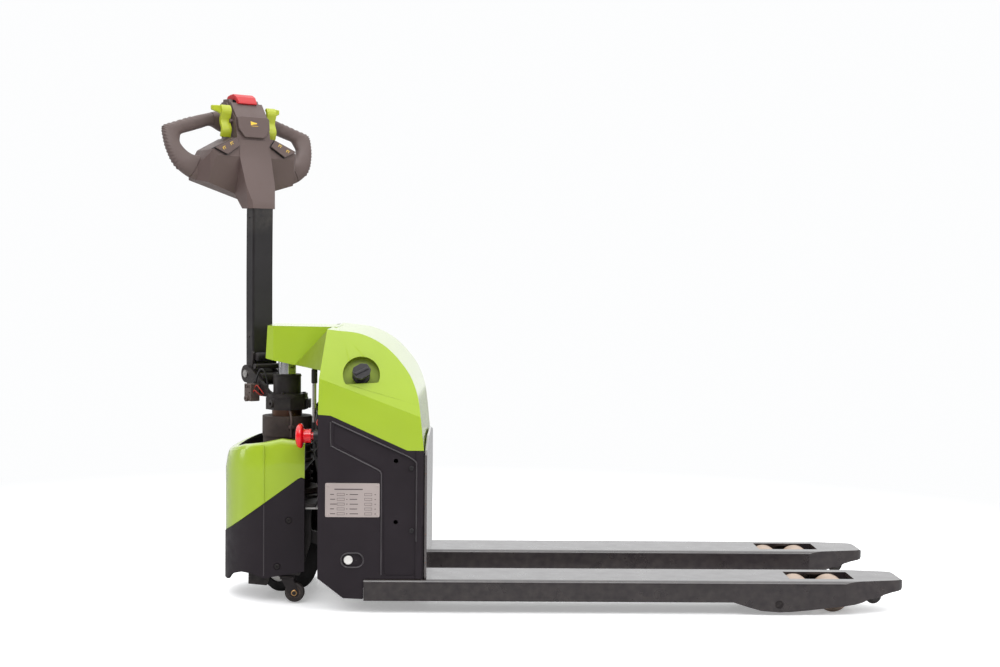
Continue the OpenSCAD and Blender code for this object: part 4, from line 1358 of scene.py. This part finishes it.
def build_backrest():
    """Bright reflective load plate with rolled edges and small screws."""
    outline = [
        (-275, 81.7), (-275, 380), (-262, 389), (-140, 405), (-110, 408), (110, 408), (140, 405), (262, 389),
        (275, 380), (275, 81.7), (118, 81.7), (118, 44), (-118, 44), (-118, 81.7),
    ]
    plate = prism(rounded(outline, 9, 4), -6, 0, "X")
    soften(plate, 2.2, 3, 40)
    piece(plate, "load_plate", "chassis", "dark_steel", LOAD_PLATE, "backrest_plate")
    screws = [
        lathe([(0, 0), (4.5, 0), (3.6, 1.2), (1.6, 1.7), (0, 1.7)], frame_along((-7.2, y, z), (1, 0, 0)), 20)
        for y in (-262, 262) for z in (130, 240, 350)
    ]
    small = [(0, -2), (1.8, -2), (1.8, 0.4), (1.2, 0.7), (0, 0.7)]
    edge_screws = [
        lathe(small, outward(-3, side * 274.4, z), 16) for side in (-1, 1) for z in (122, 190, 262, 334)
    ]
    piece(join(*screws, *edge_screws), "load_plate_screws", "chassis", "bright_steel", BRONZE)


build_backrest()


CRANK_PIN = [(0, 0), (10.5, 0), (10.5, 37.4), (9.5, 38.4), (6, 38.4), (5.4, 37.6), (0, 37.6)]


def build_pins():
    """Pin ends: the crank's in the side covers, the load arms' across each fork, the rollers' axles."""
    parts = []
    dark = []
    for side in (-1, 1):
        crank = outward(-186, side * 236, 127)
        parts.append(lathe(CRANK_PIN, crank, 48))
        for way in (-1, 1):
            y = side * 200
            arm = frame_along((842, y, 27), (0, way, 0))
            dark.append(lathe([(0, 0), (8, 0), (8, 78.6), (7, 79.6), (0, 79.6)], arm, 40))
            dark.append(ring(10.5, 8.6, 79.4, 80.4, arm, 0.5, 40))
            axle = frame_along((1078, y, 41), (0, way, 0))
            dark.append(lathe([(0, 0), (5, 0), (5, 49.4), (4.4, 50), (0, 50)], axle, 24))
    piece(join(*parts), "crank_pin_ends", "chassis", "bright_steel", ZINC, "frame_pins")
    piece(join(*dark), "fork_pin_ends", "chassis", "dark_steel", STEEL_PAINT, "frame_pins")


build_pins()

# ---------------------------------------------------------------- CAD nodes that stay, with their finish


def keep(name, material, width):
    """A CAD node keeps its shape, and gets its finish and softly broken edges."""
    obj = frame["nodes"][name]
    obj.data.materials.clear()
    obj.data.materials.append(material)
    if width:
        bevel(obj, width, 2, 40)


for material, width, names in (
    (STEEL_PAINT, 0.8, ["base_frame"]),
    (STEEL_PAINT, 1.0, ["tiller_bracket", "lift_arm"]),
    (STEEL_PAINT, 1.5, ["steering_collar"]),
    (STEEL_PAINT, 0, ["steering_yoke", "lift_cylinder", "chassis_frame", "lift_crank"]),
    (STEEL_PAINT, 0, ["push_rod_left", "push_rod_right", "load_arm_left", "load_arm_right"]),
    (STEEL, 0.5, ["bearing_ring"]),
    (STEEL, 0.6, ["pivot_pin", "drive_hub"]),
    (STEEL, 0.8, ["bogie_left", "bogie_right"]),
    (STEEL, 1.5, ["pump_unit"]),
    (CAST_BROWN, 0, ["drive_motor", "brake_housing"]),
    (BRONZE, 0.6, ["thrust_ring"]),
    (BATTERY, 3, ["battery_pack"]),
    (CHROME, 0, ["ram_rod"]),
    (FORK_PAINT, 0, ["fork_left", "fork_right"]),
):
    for name in names:
        keep(name, material, width)


# ---------------------------------------------------------------- studio

WHITE = (0.98, 0.985, 0.99, 1)
FLOOR_REACH = 9000


def paper_material():
    """Pale paper that fades into the backdrop away from the truck, and is darker in reflections."""
    paper = bpy.data.materials.new("studio_paper")
    paper.use_nodes = True
    tree = paper.node_tree
    shader = tree.nodes["Principled BSDF"]
    shader.inputs["Roughness"].default_value = 0.45
    shader.inputs["Emission Color"].default_value = (1, 1, 1, 1)
    rays = tree.nodes.new("ShaderNodeLightPath").outputs
    color = mixed(tree, rays["Is Glossy Ray"], (0.86, 0.86, 0.87), (0.22, 0.22, 0.22))
    link(tree, color, shader.inputs["Base Color"])
    lift = ranged(tree, rays["Is Camera Ray"], To_Min=0.03, To_Max=0.34)
    link(tree, lift, shader.inputs["Emission Strength"])
    place = tree.nodes.new("ShaderNodeNewGeometry")
    reach = tree.nodes.new("ShaderNodeVectorMath")
    reach.operation = "LENGTH"
    link(tree, place.outputs["Position"], reach.inputs[0])
    fade = ranged(tree, reach.outputs["Value"], True, From_Min=1.0, From_Max=2.6, To_Max=1.0)
    share = joined(tree, "MULTIPLY", fade, rays["Is Camera Ray"])
    glow = node(tree, "ShaderNodeEmission", Color=WHITE)
    blend = tree.nodes.new("ShaderNodeMixShader")
    link(tree, share, blend.inputs[0])
    link(tree, shader.outputs[0], blend.inputs[1])
    link(tree, glow.outputs[0], blend.inputs[2])
    link(tree, blend.outputs[0], tree.nodes["Material Output"].inputs["Surface"])
    return paper


def floor():
    corners = rectangle(-FLOOR_REACH, -FLOOR_REACH, FLOOR_REACH, FLOOR_REACH)
    obj = make("floor", [(x, y, 0) for x, y in corners], [(0, 1, 2, 3)])
    obj.name = "studio_floor"
    obj.data.materials.append(paper_material())


def backdrop():
    """White to the camera. As light it is bright behind and above the truck, dim behind the camera."""
    bpy.context.scene.view_settings.view_transform = "Standard"
    world = bpy.data.worlds.new("studio")
    bpy.context.scene.world = world
    world.use_nodes = True
    tree = world.node_tree
    white = tree.nodes["Background"]
    white.inputs["Color"].default_value = WHITE
    toward = tree.nodes.new("ShaderNodeTexCoord")
    part = tree.nodes.new("ShaderNodeSeparateXYZ")
    link(tree, toward.outputs["Generated"], part.inputs[0])
    room = ranged(tree, part.outputs["Y"], True, From_Min=0.3, From_Max=0.95, To_Min=0.14, To_Max=1.0)
    sky = ranged(tree, part.outputs["Z"], True, From_Min=0.3, From_Max=0.58, To_Max=1.7)
    level = tree.nodes.new("ShaderNodeLightPath").outputs["Is Camera Ray"]
    for share in (room, sky):
        level = joined(tree, "MAXIMUM", level, share)
    link(tree, level, white.inputs["Strength"])


def softbox(name, place, target, width, height, power):
    lamp = bpy.data.lights.new(name, "AREA")
    lamp.shape = "RECTANGLE"
    lamp.size = width
    lamp.size_y = height
    lamp.energy = power
    obj = bpy.data.objects.new(name, lamp)
    bpy.context.scene.collection.objects.link(obj)
    obj.location = place
    obj.rotation_euler = (Vector(target) - Vector(place)).to_track_quat("-Z", "Y").to_euler()


def camera():
    """Camera measured from the forks' known length, width and height."""
    focal_px, picture_px, sensor_mm = 1555.0, 1000.0, 36.0
    stand = (102, -3947, 816)
    yaw, pitch, roll = (math.radians(a) for a in (1.06, 2.3, 0.5))
    ahead = Vector((math.sin(yaw) * math.cos(pitch), math.cos(yaw) * math.cos(pitch), -math.sin(pitch)))
    right = Vector((math.cos(yaw), -math.sin(yaw), 0))
    up = right.cross(ahead)
    c, s = math.cos(roll), math.sin(roll)
    right, up = right * c + up * s, up * c - right * s
    lens = bpy.data.cameras.new("camera")
    lens.sensor_width = sensor_mm
    lens.lens = focal_px / picture_px * sensor_mm
    obj = bpy.data.objects.new("camera", lens)
    bpy.context.scene.collection.objects.link(obj)
    turn = Matrix((right, up, -ahead)).transposed().to_4x4()
    obj.matrix_world = Matrix.Translation(TRUCK @ Vector(stand)) @ turn
    bpy.context.scene.camera = obj


floor()
backdrop()
softbox("overhead", (0.1, 0.2, 3.0), (0.1, 0, 0.3), 3.6, 2.6, 18)
softbox("front_high", (0.5, -2.8, 3.6), (-0.1, 0, 0.35), 4.4, 1.4, 78)
softbox("left", (-3.4, 0.4, 1.2), (-0.4, 0, 0.6), 0.7, 1.8, 9)
softbox("right", (3.0, -1.2, 1.6), (0, 0, 0.3), 1.4, 1.4, 18)
camera()
